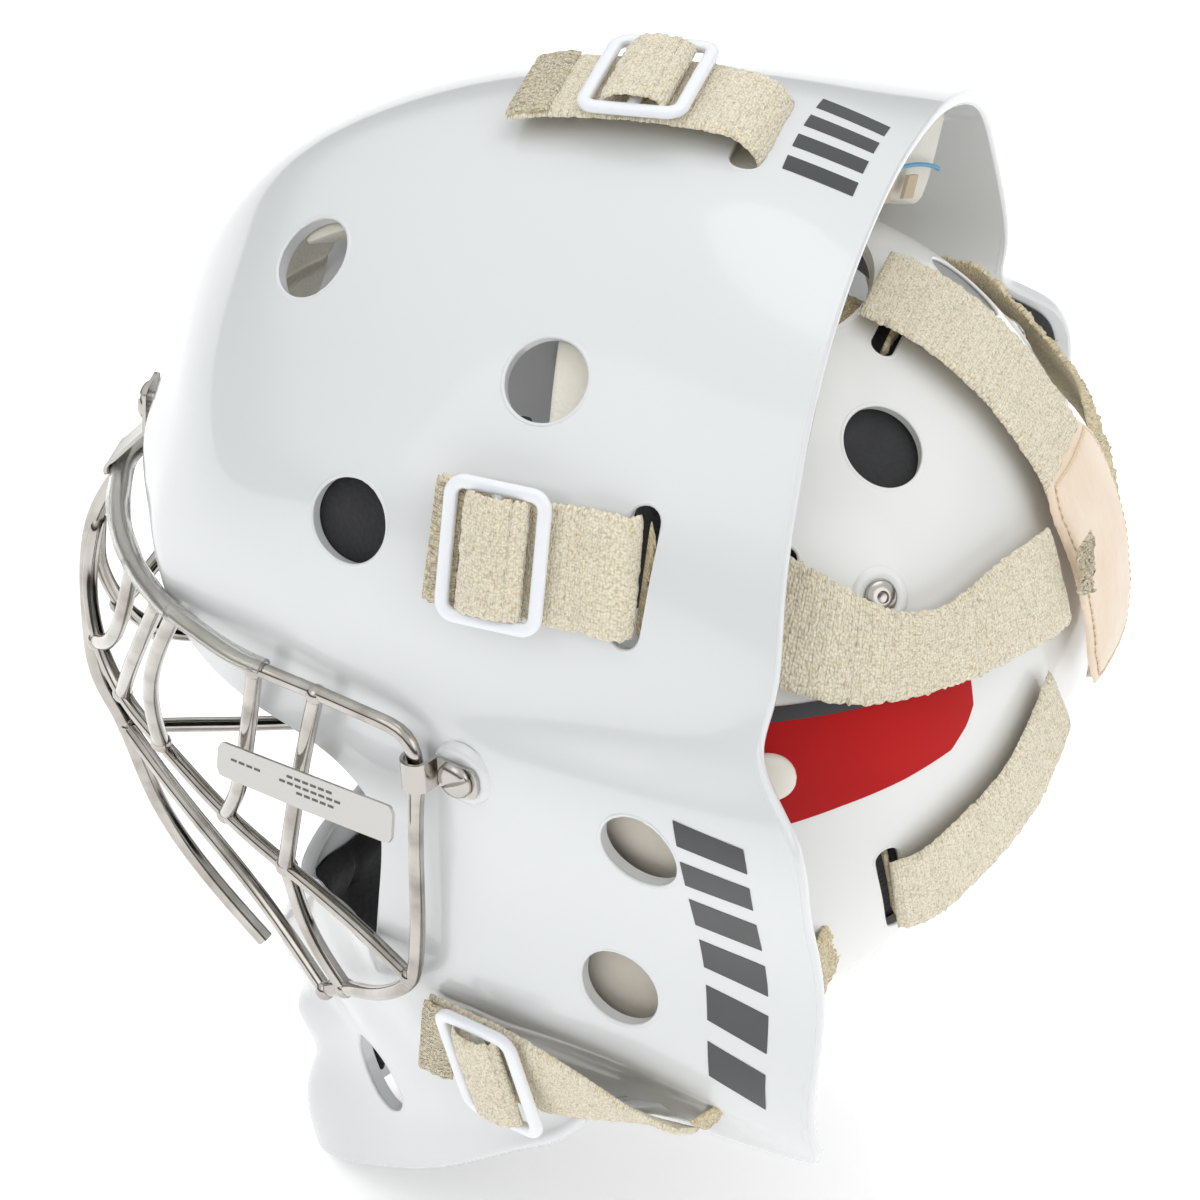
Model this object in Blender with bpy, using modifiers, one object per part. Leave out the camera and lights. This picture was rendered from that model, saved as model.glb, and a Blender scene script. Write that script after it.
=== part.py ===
"""Goalie mask: one-piece shell, welded wire cage, floating backplate and an
elastic harness with five sliders.

Worn frame: X is the wearer's left, -Y is forward, +Z is up, and the origin is
the middle of the wearer's head.  Lengths in the tables are millimetres.
"""
import bpy
import bmesh
import math
import numpy as np
from mathutils import Vector, Matrix

MM = 0.001
SHELL_T = 3.6          # shell wall
VENT_R = 11.0          # round vents
SLOT_W = 8.6           # strap slots
PLATE_C = (0.0, 26.0, 5.0)   # centre of the backplate's dome
PLATE_R = 104.0
PLATE_T = 3.0
PLATE_TRAVEL = 25.0    # how far the elastic lets the backplate come back
WIRE_R = 1.95          # cage wire
BAR_R = 2.1
STRAP_T = 2.2
STRAP_W = 31.0

for o in list(bpy.data.objects):
    bpy.data.objects.remove(o, do_unlink=True)

COL = bpy.data.collections.new("goalie_mask")
CUT = bpy.data.collections.new("cutters")
bpy.context.scene.collection.children.link(COL)
bpy.context.scene.collection.children.link(CUT)


# ------------------------------------------------------------------ materials
def material(name, color, rough, metal=0.0, alpha=1.0):
    m = bpy.data.materials.new(name)
    m.use_nodes = True
    p = m.node_tree.nodes["Principled BSDF"]
    p.inputs["Base Color"].default_value = (*color, 1)
    p.inputs["Roughness"].default_value = rough
    p.inputs["Metallic"].default_value = metal
    p.inputs["Alpha"].default_value = alpha
    m.diffuse_color = (*color, alpha)
    return m


M_SHELL = material("shell_white", (0.82, 0.84, 0.86), 0.12)
M_PLATE = material("plate_white", (0.84, 0.85, 0.86), 0.18)
M_FOAM = material("foam_black", (0.012, 0.012, 0.012), 0.85)
M_PAD = material("pad_cream", (0.66, 0.63, 0.56), 0.8)
M_WIRE = material("wire_nickel", (0.55, 0.53, 0.50), 0.18, 1.0)
M_STEEL = material("screw_steel", (0.62, 0.61, 0.60), 0.22, 1.0)
M_LABEL = material("plate_label", (0.72, 0.72, 0.72), 0.3, 1.0)
M_CLEAR = material("sleeve_clear", (0.80, 0.82, 0.82), 0.1, 0.0, 0.5)
M_SLIDER = material("slider_white", (0.86, 0.88, 0.90), 0.3)
M_STRAP = material("strap_ecru", (0.62, 0.56, 0.44), 0.95)
M_PATCH = material("patch_suede", (0.82, 0.70, 0.57), 0.9)
M_RED = material("sticker_red", (0.62, 0.015, 0.02), 0.4)


# ------------------------------------------------------------------ helpers
def add(name, mesh, mat, col=COL):
    mesh.materials.clear()
    mesh.materials.append(mat)
    ob = bpy.data.objects.new(name, mesh)
    col.objects.link(ob)
    return ob


def mesh_from(name, verts, faces, smooth=True):
    me = bpy.data.meshes.new(name)
    me.from_pydata([tuple(float(c) * MM for c in v) for v in verts], [], faces)
    me.validate()
    bm = bmesh.new()
    bm.from_mesh(me)
    bmesh.ops.remove_doubles(bm, verts=bm.verts, dist=0.00001)
    bmesh.ops.recalc_face_normals(bm, faces=bm.faces)
    bm.to_mesh(me)
    bm.free()
    if smooth:
        me.shade_smooth()
        me.set_sharp_from_angle(angle=math.radians(50))
    return me


def block(name, grid_a, grid_b, mat):
    """Closed solid between two equal grids of points (n x m x 3)."""
    a = np.asarray(grid_a, float)
    c = np.asarray(grid_b, float)
    n, m = a.shape[:2]
    verts = [tuple(p) for p in a.reshape(-1, 3)] + [tuple(p) for p in c.reshape(-1, 3)]
    k = n * m
    f = []
    for i in range(n - 1):
        for j in range(m - 1):
            q = [i * m + j, (i + 1) * m + j, (i + 1) * m + j + 1, i * m + j + 1]
            f.append(q)
            f.append([x + k for x in reversed(q)])
    rim = [i * m for i in range(n)] + [(n - 1) * m + j for j in range(1, m)]
    rim += [i * m + m - 1 for i in range(n - 2, -1, -1)] + [j for j in range(m - 2, 0, -1)]
    for i, p in enumerate(rim):
        q = rim[(i + 1) % len(rim)]
        f.append([p, q, q + k, p + k])
    me = mesh_from(name, verts, f)
    return add(name, me, mat)


def cubic(t, P, T):
    """Smooth (C2, natural ends) spline through P at knots t, read at T."""
    P = np.asarray(P, float)
    T = np.asarray(T, float)
    n = len(t)
    h = np.diff(t)
    A = np.zeros((n, n))
    B = np.zeros(P.shape)
    A[0, 0] = A[-1, -1] = 1
    for i in range(1, n - 1):
        A[i, i - 1], A[i, i], A[i, i + 1] = h[i - 1], 2 * (h[i - 1] + h[i]), h[i]
        B[i] = 6 * ((P[i + 1] - P[i]) / h[i] - (P[i] - P[i - 1]) / h[i - 1])
    M = np.linalg.solve(A, B.reshape(n, -1)).reshape(P.shape)
    k = np.clip(np.searchsorted(t, T, side="right") - 1, 0, n - 2)
    sh = (slice(None),) + (None,) * (P.ndim - 1)
    s, a, hh = (T - t[k])[sh], (t[k + 1] - T)[sh], h[k][sh]
    return ((M[k] * a ** 3 + M[k + 1] * s ** 3) / (6 * hh)
            + (P[k] / hh - M[k] * hh / 6) * a + (P[k + 1] / hh - M[k + 1] * hh / 6) * s)


def curve_points(stations, n):
    """n points along a smooth curve through the stations."""
    P = np.array(stations, float)
    t = np.concatenate([[0], np.cumsum(np.linalg.norm(np.diff(P, axis=0), axis=1))])
    return cubic(t, P, np.linspace(0, t[-1], n))


def tube(name, pts, radius, mat, cyclic=False, res=2, col=COL):
    """Round wire: a curve with a bevel, turned into a closed mesh."""
    cu = bpy.data.curves.new(name, "CURVE")
    cu.dimensions = "3D"
    sp = cu.splines.new("POLY")
    sp.points.add(len(pts) - 1)
    for i, p in enumerate(pts):
        sp.points[i].co = (p[0] * MM, p[1] * MM, p[2] * MM, 1)
    sp.use_cyclic_u = cyclic
    cu.bevel_depth = radius * MM
    cu.bevel_resolution = res
    cu.use_fill_caps = True
    co = bpy.data.objects.new(name + "_path", cu)
    col.objects.link(co)
    bpy.context.view_layer.update()
    me = bpy.data.meshes.new_from_object(co.evaluated_get(bpy.context.evaluated_depsgraph_get()))
    bm = bmesh.new()
    bm.from_mesh(me)
    bmesh.ops.remove_doubles(bm, verts=bm.verts, dist=0.00001)
    bmesh.ops.recalc_face_normals(bm, faces=bm.faces)
    bm.to_mesh(me)
    bm.free()
    me.shade_smooth()
    me.set_sharp_from_angle(angle=math.radians(50))
    bpy.data.objects.remove(co, do_unlink=True)
    return add(name, me, mat, col)


def frame_at(p, n, up=(0, 0, 1)):
    """Matrix with Z along n at p (mm), X as near to up's side as it can be."""
    z = Vector(n).normalized()
    x = Vector(up).cross(z)
    if x.length < 1e-4:
        x = Vector((1, 0, 0))
    x.normalize()
    y = z.cross(x)
    m = Matrix((x, y, z)).transposed().to_4x4()
    m.translation = Vector(p) * MM
    return m


def cylinder_mesh(name, r, z0, z1, mat_world, seg=24, r2=None):
    bm = bmesh.new()
    bmesh.ops.create_cone(bm, cap_ends=True, cap_tris=False, segments=seg,
                          radius1=r * MM, radius2=(r if r2 is None else r2) * MM,
                          depth=(z1 - z0) * MM)
    bmesh.ops.translate(bm, verts=bm.verts, vec=(0, 0, (z0 + z1) / 2 * MM))
    bmesh.ops.transform(bm, matrix=mat_world, verts=bm.verts)
    me = bpy.data.meshes.new(name)
    bm.to_mesh(me)
    bm.free()
    return me


def rounded_slot(name, length, width, z0, z1, mat_world, seg=8):
    """Stadium-shaped prism, long side along local X."""
    w = width / 2
    a = length / 2 - w
    ring = []
    for k in range(seg + 1):
        t = -math.pi / 2 + math.pi * k / seg
        ring.append((a + w * math.cos(t), w * math.sin(t)))
    for k in range(seg + 1):
        t = math.pi / 2 + math.pi * k / seg
        ring.append((-a + w * math.cos(t), w * math.sin(t)))
    n = len(ring)
    bm = bmesh.new()
    lo = [bm.verts.new((x * MM, y * MM, z0 * MM)) for x, y in ring]
    hi = [bm.verts.new((x * MM, y * MM, z1 * MM)) for x, y in ring]
    bm.faces.new(list(reversed(lo)))
    bm.faces.new(hi)
    for i in range(n):
        bm.faces.new([lo[i], lo[(i + 1) % n], hi[(i + 1) % n], hi[i]])
    bmesh.ops.transform(bm, matrix=mat_world, verts=bm.verts)
    bmesh.ops.recalc_face_normals(bm, faces=bm.faces)
    me = bpy.data.meshes.new(name)
    bm.to_mesh(me)
    bm.free()
    return me


def cutter(name, mesh):
    ob = bpy.data.objects.new(name, mesh)
    CUT.objects.link(ob)
    ob.hide_render = True
    ob.display_type = "WIRE"
    return ob


def apply_all(ob):
    dg = bpy.context.evaluated_depsgraph_get()
    bpy.context.view_layer.update()
    me = bpy.data.meshes.new_from_object(ob.evaluated_get(dg))
    ob.modifiers.clear()
    ob.data = me


def boolean(ob, other, op="DIFFERENCE"):
    md = ob.modifiers.new("bool", "BOOLEAN")
    md.operation = op
    md.solver = "EXACT"
    md.object = other


def cut(ob, cutters):
    for c in cutters:
        boolean(ob, c)
    bpy.context.view_layer.update()
    apply_all(ob)
    for c in cutters:
        c.parent = None


def sound(me, least):
    """One closed piece with more than the given volume (cubic metres)."""
    bm = bmesh.new()
    bm.from_mesh(me)
    ok = all(len(e.link_faces) == 2 for e in bm.edges) and bm.calc_volume(signed=True) > least
    if ok:
        bm.faces.ensure_lookup_table()
        seen, todo = {0}, [bm.faces[0]]
        while todo:
            for e in todo.pop().edges:
                for g in e.link_faces:
                    if g.index not in seen:
                        seen.add(g.index)
                        todo.append(g)
        ok = len(seen) == len(bm.faces)
    bm.free()
    return ok


def volume(me):
    bm = bmesh.new()
    bm.from_mesh(me)
    v = bm.calc_volume(signed=True)
    bm.free()
    return v


def join(ob, others):
    """Weld others into ob as one solid.  A bar whose facets meet the first
    wire's edge on edge is moved by a few hundredths of a millimetre."""
    for o in others:
        base = ob.data
        least = volume(base) * 1.0005
        for k in range(12):
            o.location = (0.00003 * k, -0.00002 * k, 0.000025 * (k % 5))
            ob.data = base
            boolean(ob, o, "UNION")
            bpy.context.view_layer.update()
            apply_all(ob)
            bm = bmesh.new()
            bm.from_mesh(ob.data)
            bmesh.ops.remove_doubles(bm, verts=bm.verts, dist=0.000004)
            bmesh.ops.dissolve_degenerate(bm, edges=bm.edges, dist=0.000004)
            bm.to_mesh(ob.data)
            bm.free()
            if sound(ob.data, least):
                break
        else:
            print("NOT WELDED", ob.name, o.name)
            ob.data = base
    for o in others:
        bpy.data.objects.remove(o, do_unlink=True)


def tidy(ob, angle=40):
    """Merge slivers left by the cuts, if the solid stays closed, and shade it."""
    me = ob.data
    clean = me.copy()
    bm = bmesh.new()
    bm.from_mesh(clean)
    bmesh.ops.remove_doubles(bm, verts=bm.verts, dist=0.00001)
    bmesh.ops.dissolve_degenerate(bm, edges=bm.edges, dist=0.00002)
    bmesh.ops.recalc_face_normals(bm, faces=bm.faces)
    bm.to_mesh(clean)
    bm.free()
    if sound(clean, 0.98 * volume(me)):
        ob.data = me = clean
    me.shade_smooth()
    me.set_sharp_from_angle(angle=math.radians(angle))


def mirror(p):
    return (-p[0], p[1], p[2])


# ------------------------------------------------------------------ shell form
# Rows fan round the face opening, from the crown's centre line to the chin's.
# Each row runs from the opening's edge to the shell's outer edge.
ROWS = [
    [(0,-114,31),(0,-114.5,43),(0,-107,65),(0,-100.7,86.5),(0,-83.5,111.8),(0,-49.6,131.9),(0,-10,141),(0,32,143),(0,74.6,136)],
    [(22,-111,31),(22,-111.5,43),(21,-104,65),(20,-97.7,84.5),(20.5,-80.5,108.8),(22,-47.6,128.9),(24,-9,138),(25,33,141),(23,74.6,134)],
    [(44,-103,29),(45,-103,41),(44,-97,62),(42,-90,80.8),(44,-72.6,101),(47.5,-43.6,117.5),(50,-7,126),(51,34,130.5),(48,74.6,129)],
    [(60,-96,28),(61,-96,39),(61,-89,58),(62,-79,73),(66,-62,86),(70,-38,98),(74,-4,108),(75,35,114),(73.6,74.6,118)],
    [(68,-89,20),(71,-87,32),(74,-80,50),(77,-70,62),(82,-56,71),(88,-34,79),(93,0,85),(95,36,91),(91,74.6,102)],
    [(73,-79,11),(77,-78,25),(81,-70,40),(85,-60,50),(90,-46,56),(96,-27,61),(100,4,65),(104,38,70),(105,74.6,78)],
    [(78,-64,4),(82,-63,20),(86,-54,30),(90,-43,36),(94,-32,40),(99,-17,44),(103,8,47),(108,40,50),(113.5,74.6,53)],
    [(84,-46,-1.5),(88,-44,12),(92,-35,20),(95,-27,24),(98,-19,27),(101,-6,29),(105,14,31),(111,43,34),(120,73.4,38)],
    [(88,-35,-9),(93,-31,2),(96,-24,9),(100,-16,13),(103,-9,16),(107,2,18),(112,20,20.5),(119,46,23),(130,83.5,26)],
    [(86,-31,-24),(90,-24,-18),(94,-17,-14),(97,-10,-12),(101,-2,-10),(105,10,-8),(110,27,-6),(117,50,-3),(129,87.5,2)],
    [(80,-34,-50),(84,-25,-44),(88,-17,-42),(91,-10,-40),(94,0,-39),(98,13,-38),(103,31,-37),(109,53,-36),(121,89,-32)],
    [(74,-38,-64),(79,-27,-67),(83,-17,-67.5),(86,-8,-68),(89,0,-68),(93,14,-68.5),(97,32,-70),(102,54,-73),(110,85,-77)],
    [(70,-41,-66),(74,-31,-73),(77,-21,-75),(79,-12,-76),(82,-3,-77),(85,11,-78),(89,29,-79),(94,52,-81),(101,82,-88)],
    [(62,-47,-68),(66,-38,-80),(70,-28,-85),(74,-18,-88),(78,-8,-90),(81,2,-91),(84,12,-91),(87,22,-90),(89,36,-89)],
    [(50,-55,-71),(54,-49,-84),(58,-41,-92),(62,-32,-97),(66,-23,-101),(71,-12,-103),(76,-2,-104),(81,8,-103),(86,17,-98)],
    [(38,-63,-76),(42,-59,-89),(45,-54,-98),(49,-46,-106),(54,-37,-111),(59,-28,-115),(65,-17,-117),(70,-9,-118),(76,-1,-115)],
    [(27,-69.5,-80),(28,-68.5,-94),(30,-65,-105),(32,-58,-114),(36,-52,-121),(40,-46,-128),(45,-39,-134),(49,-34,-139),(53,-29,-142)],
    [(16,-74.3,-85),(17,-76,-98),(17,-76,-109),(17,-70,-118),(18,-69,-125),(20,-65,-134),(23,-62,-143),(26,-59,-152),(29,-55,-162)],
    [(8,-76.2,-85),(8,-80,-98),(8,-82,-113),(8,-76,-123),(9,-78,-130),(9,-74,-140),(10,-74.5,-150),(11,-75,-160),(13,-71.5,-170.5)],
    [(0,-76.5,-85),(0,-81,-98),(0,-83,-113),(0,-77,-123),(0,-79,-130),(0,-75,-140),(0,-75.5,-150),(0,-76.5,-161),(0,-75,-171.5)],
]
G = np.array(ROWS, float)
# the flange round the opening is set back, so that the cage lies in it
FLANGE = [0, 0, 1.5, 3.5, 5, 6, 6.5, 6.5, 5.5, 4.5, 3.5, 1.5] + [0] * 8
for _i, _d in enumerate(FLANGE):
    for _j, _w in ((0, 1.0), (1, 0.9), (2, 0.25)):
        G[_i, _j] -= np.array([0.815, 0.234, 0.53]) * _d * _w
_m = G * np.array([-1, 1, 1])
EXT = np.concatenate([_m[1:4][::-1], G, _m[-4:-1][::-1]], 0)
TR = np.concatenate([[0], np.cumsum(np.linalg.norm(np.diff(EXT, axis=0), axis=2).mean(1))])
TC = np.concatenate([[0], np.cumsum(np.linalg.norm(np.diff(G, axis=1), axis=2).mean(0))])


def form(rows, cols):
    """Points on the shell's outer surface at row and column numbers."""
    tu = np.interp(np.asarray(rows, float) + 3, np.arange(len(TR)), TR)
    tv = np.interp(np.asarray(cols, float), np.arange(len(TC)), TC)
    S = cubic(TR, EXT, tu)
    return np.swapaxes(cubic(TC, np.swapaxes(S, 0, 1), tv), 0, 1)


def form_normal(rows, cols):
    e = 0.05
    r, c = np.asarray(rows, float), np.asarray(cols, float)
    du = form(r + e, c) - form(r - e, c)
    cl, ch = np.clip(c - e, 0, 8), np.clip(c + e, 0, 8)
    dv = form(r, ch) - form(r, cl)
    n = np.cross(du, dv)
    return n / (np.linalg.norm(n, axis=2, keepdims=True) + 1e-12)


def on_form(p):
    """Nearest point of the left half's outer surface to p, and its normal."""
    r = np.linspace(0, 19, 115)
    c = np.linspace(0, 8, 65)
    S = form(r, c)
    d = ((S - np.array(p, float)) ** 2).sum(2)
    i, j = np.unravel_index(d.argmin(), d.shape)
    return S[i, j], form_normal([r[i]], [c[j]])[0, 0]


# shell: a half, open at the centre plane, mirrored and given its wall
rr = np.array([0, 1, 2, 3, 4, 5, 6, 6.5, 7, 7.5, 8, 8.5, 9, 10, 10.5, 11, 11.5, 12, 12.5, 13, 14, 15, 16, 17, 18, 19])
cc = np.linspace(0, 8, 17)
S = form(rr, cc)
S[0, :, 0] = 0.0
S[-1, :, 0] = 0.0
n, m = S.shape[:2]
faces = [[i * m + j, (i + 1) * m + j, (i + 1) * m + j + 1, i * m + j + 1]
         for i in range(n - 1) for j in range(m - 1)]
me = bpy.data.meshes.new("mask_shell")
me.from_pydata([tuple(float(x) * MM for x in p) for p in S.reshape(-1, 3)], [], faces)
shell = add("mask_shell", me, M_SHELL)
md = shell.modifiers.new("halves", "MIRROR")
md.use_axis = (True, False, False)
md.merge_threshold = 0.0001
md = shell.modifiers.new("wall", "SOLIDIFY")
md.thickness = SHELL_T * MM
md.offset = -1
apply_all(shell)

VENTS = {  # centre near the surface
    "forehead": (39, -60, 111), "temple_top": (75.8, 8.7, 109.3), "side": (90.4, -38, 70.5),
    "jaw_upper": (116.5, 43, 7), "jaw_lower": (104, 34, -43), "chin": (39.5, -47, -126),
}
cutters = []
for name, p in VENTS.items():
    q, nrm = on_form(p)
    for s in (1, -1):
        qq, nn = (q[0] * s, q[1], q[2]), (nrm[0] * s, nrm[1], nrm[2])
        cutters.append(cutter(f"cut_{name}_{s}", cylinder_mesh(name, VENT_R, -14, 12, frame_at(qq, nn), 16)))
# temple slots: upright, leaning with the shell's rear edge
q, nrm = on_form((101.5, 37.5, 74))
for s in (1, -1):
    z = Vector((nrm[0] * s, nrm[1], nrm[2])).normalized()
    x = Vector((5 * s, -2.5, -29)).normalized()
    x = (x - z * x.dot(z)).normalized()
    mw = Matrix((x, z.cross(x), z)).transposed().to_4x4()
    mw.translation = Vector((q[0] * s, q[1], q[2])) * MM
    cutters.append(cutter(f"cut_temple_slot_{s}", rounded_slot("slot", 37, SLOT_W, -12, 12, mw)))
q, nrm = on_form((0, 42, 142))
mw = frame_at((0, q[1], q[2]), (0, nrm[1], nrm[2]), up=(0, 1, 0))
cutters.append(cutter("cut_crown_slot", rounded_slot("slot", 38, SLOT_W, -12, 12, mw)))
# screw holes for the cage clips
BOLT = {"left": on_form((104.5, -4.9, 11.4)), "top": on_form((0, -114.3, 39))}
for key, (q, nrm) in BOLT.items():
    for s in ((1, -1) if key == "left" else (1,)):
        nn = (nrm[0] * s, nrm[1], nrm[2]) if key == "left" else (0, nrm[1], nrm[2])
        qq = (q[0] * s, q[1], q[2]) if key == "left" else (0, q[1], q[2])
        cutters.append(cutter(f"cut_bolt_{key}_{s}", cylinder_mesh("hole", 2.8, -14, 12, frame_at(qq, nn), seg=12)))
cut(shell, cutters)
tidy(shell, 45)


# ------------------------------------------------------------------ backplate
def dome(az, el, r):
    """Point of the backplate's dome: az from the rear centre towards +X, el up (deg)."""
    az, el = np.asarray(az, float), np.asarray(el, float)
    # flatter at the rear centre, and drawn in below
    low = np.clip((-5.0 - el) / 45.0, 0, None)
    r = r - 6.0 * np.exp(-(az / 38.0) ** 2) * np.clip((45.0 - el) / 40.0, 0, 1) \
        - 8.0 * low * low / (low + 0.12) * np.exp(-(az / 40.0) ** 2)
    a, e = np.radians(az), np.radians(el)
    return np.stack([PLATE_C[0] + r * np.sin(a) * np.cos(e),
                     PLATE_C[1] + r * np.cos(a) * np.cos(e),
                     PLATE_C[2] + r * np.sin(e) + 0 * a], -1)


def dome_grid(a0, a1, e0, e1, na, ne, r):
    A, E = np.meshgrid(np.linspace(a0, a1, na), np.linspace(e0, e1, ne), indexing="ij")
    return dome(A, E, r)


plate = block("backplate", dome_grid(-74, 74, -50, 66, 19, 14, PLATE_R),
              dome_grid(-74, 74, -50, 66, 19, 14, PLATE_R - PLATE_T), M_PLATE)


def dome_frame(az, el, r=PLATE_R, tilt=0.0):
    p = dome(az, el, r)
    nrm = Vector(p) - Vector(PLATE_C)
    f = frame_at(tuple(p), nrm)
    return f @ Matrix.Rotation(math.radians(tilt), 4, "Z")


def slot_frame(p, q):
    """Frame on the dome with its x axis from p to q (az, el pairs)."""
    a, b = Vector(dome(*p, PLATE_R)), Vector(dome(*q, PLATE_R))
    c = Vector(dome((p[0] + q[0]) / 2, (p[1] + q[1]) / 2, PLATE_R))
    z = (c - Vector(PLATE_C)).normalized()
    x = b - a
    x = (x - z * x.dot(z)).normalized()
    m = Matrix((x, z.cross(x), z)).transposed().to_4x4()
    m.translation = c * MM
    return m


PV_AZ, PV_EL = 35.0, 48.0      # round vent
MID_SLOT = ((67.0, 20.5), (60.5, 37.0))
LOW_SLOT = ((42.0, -26.5), (47.8, -9.9))
cutters = []
for s in (1, -1):
    cutters.append(cutter(f"cut_plate_vent_{s}", cylinder_mesh("pv", VENT_R, -9, 9, dome_frame(PV_AZ * s, PV_EL))))
    cutters.append(cutter(f"cut_plate_low_{s}", rounded_slot("ps", 37, 7, -9, 9, slot_frame((LOW_SLOT[0][0] * s, LOW_SLOT[0][1]), (LOW_SLOT[1][0] * s, LOW_SLOT[1][1])))))
    cutters.append(cutter(f"cut_plate_mid_{s}", rounded_slot("pm", 37, 7, -9, 9, slot_frame((MID_SLOT[0][0] * s, MID_SLOT[0][1]), (MID_SLOT[1][0] * s, MID_SLOT[1][1])))))
    cutters.append(cutter(f"cut_plate_screw_{s}", cylinder_mesh("psc", 2.4, -9, 9, dome_frame(46 * s, 29), seg=12)))
cutters.append(cutter("cut_plate_top", rounded_slot("pt", 37, 7, -9, 9, slot_frame((8, 61), (-8, 61)))))
cut(plate, cutters)
tidy(plate, 45)

# foam liner behind the dome, with a thin black strip standing proud of the top rim
block("backplate_pad", dome_grid(-54, 54, -40, 50, 11, 8, PLATE_R - PLATE_T - 1.6),
      dome_grid(-51, 51, -38, 48, 11, 8, PLATE_R - PLATE_T - 10), M_FOAM)
for s, side in ((1, "L"), (-1, "R")):
    f = dome_frame(46 * s, 29)
    me = cylinder_mesh(f"backplate_screw_{side}", 4.2, 0.4, 2.2, f, 16, r2=3.4)
    add(f"backplate_screw_{side}", me, M_STEEL)


# ------------------------------------------------------------------ pads
def pad(name, r0, r1, c0, c1, t0, t1, nr, nc, mat, flip=1):
    r, c = np.linspace(r0, r1, nr), np.linspace(c0, c1, nc)
    P, N = form(r, c), form_normal(r, c)
    f = np.array([flip, 1, 1])
    # the lining face is drawn in a little, so the pad's sides slope
    k = np.ones((nr, nc, 1))
    cen = P.reshape(-1, 3).mean(0)
    inner = P - N * t1
    inner = inner + (cen - N.reshape(-1, 3).mean(0) * t1 - inner) * 0.05 * k
    return block(name, (P - N * t0) * f, inner * f, mat)


W = SHELL_T + 1.5
pad("crown_pad", -1.5, 1.5, 4.3, 7.7, W, W + 10, 8, 7, M_PAD)
pad("forehead_pad", -2.4, 2.4, 1.3, 3.7, W, W + 12, 8, 5, M_PAD)
for s, side in ((1, "L"), (-1, "R")):
    pad(f"temple_pad_{side}", 3.3, 6.3, 2.4, 6.2, W, W + 11, 6, 6, M_FOAM, s)
    pad(f"cheek_pad_{side}", 7.2, 10.4, 1.4, 5.2, W, W + 15, 6, 6, M_FOAM, s)
pad("chin_pad", 16.5, 21.5, 3.6, 5.4, W + 1.2, W + 9, 9, 4, M_FOAM)


# ------------------------------------------------------------------ cage
PERIM = [(0,-124,19.6),(14,-121.4,19.1),(30,-115.7,18.5),(43,-108.6,18.3),(54,-100.4,18.1),(64,-89.9,17.8),
         (71,-80.2,17.7),(77,-71.6,17.6),(80,-65,17.6),(84,-54.8,17.6),(87,-47,17.6),(91,-37.3,17.6),(95,-26.4,17),
         (97,-20.5,14.5),(98,-18.5,9.5),(97.5,-18.5,-2),(93.5,-19.9,-28),(88,-21.8,-54),(85,-24.3,-64),(81,-28.8,-70),
         (71,-38.8,-79.3),(61,-48.7,-86.4),(55,-56,-92)]
BARS = {
    "long_upper": [(0,-131.5,2),(4,-133,-13.7),(8,-130.4,-26.6),(15,-121.3,-39.6),(27,-106.4,-45.5),(43,-85.6,-51.4),(58,-64.9,-54.4),(72,-43,-58.7),(85,-24.5,-63)],
    "long_lower": [(0,-125.2,-59.5),(11,-113.2,-63.9),(24,-98,-69.1),(41,-77.2,-76.7),(55.5,-55.8,-91.8)],
    "upright_rear": [(87,-47,17),(78,-53.7,-8.8),(66,-60.4,-35.2),(58,-64.9,-54.4)],
    "upright_front": [(80,-64.8,17),(68,-71.3,-12.3),(56,-77.8,-35.6),(43.5,-84.9,-51.6)],
    "chin_bar": [(58,-64.5,-54.8),(60,-58.3,-71.4),(61,-48.9,-86.4)],
    "short_front": [(44,-108,18),(22,-122,-19.7),(9,-129.8,-29)],
    "short_mid": [(58,-96.6,17.6),(30,-114,-21.9),(15,-121.3,-39.6)],
    "curved": [(63,-91,17.6),(45,-103.4,-14.9),(26,-107.5,-45)],
}


OUT = np.array([0.815, 0.234, 0.53])      # way the left half of the cage is lifted off the shell


def rise(P, need):
    """How far each left-half point must go along OUT to stand clear of the shell."""
    t = np.zeros(len(P))
    for i, p in enumerate(P):
        for k in range(40):
            x = np.array(p, float) + OUT * 0.5 * k
            q, nn = on_form((abs(x[0]), x[1], x[2]))
            if np.linalg.norm(x - q) >= need and (x - q) @ nn > -0.2 * need:
                break
        t[i] = 0.5 * k
    up = t.copy()
    for _ in range(3):
        up = np.maximum(up, np.convolve(np.pad(up, 1, mode="edge"), [0.3, 0.4, 0.3], mode="valid"))
    return np.convolve(np.pad(up, 2, mode="edge"), [0.1, 0.2, 0.4, 0.2, 0.1], mode="valid")


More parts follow.
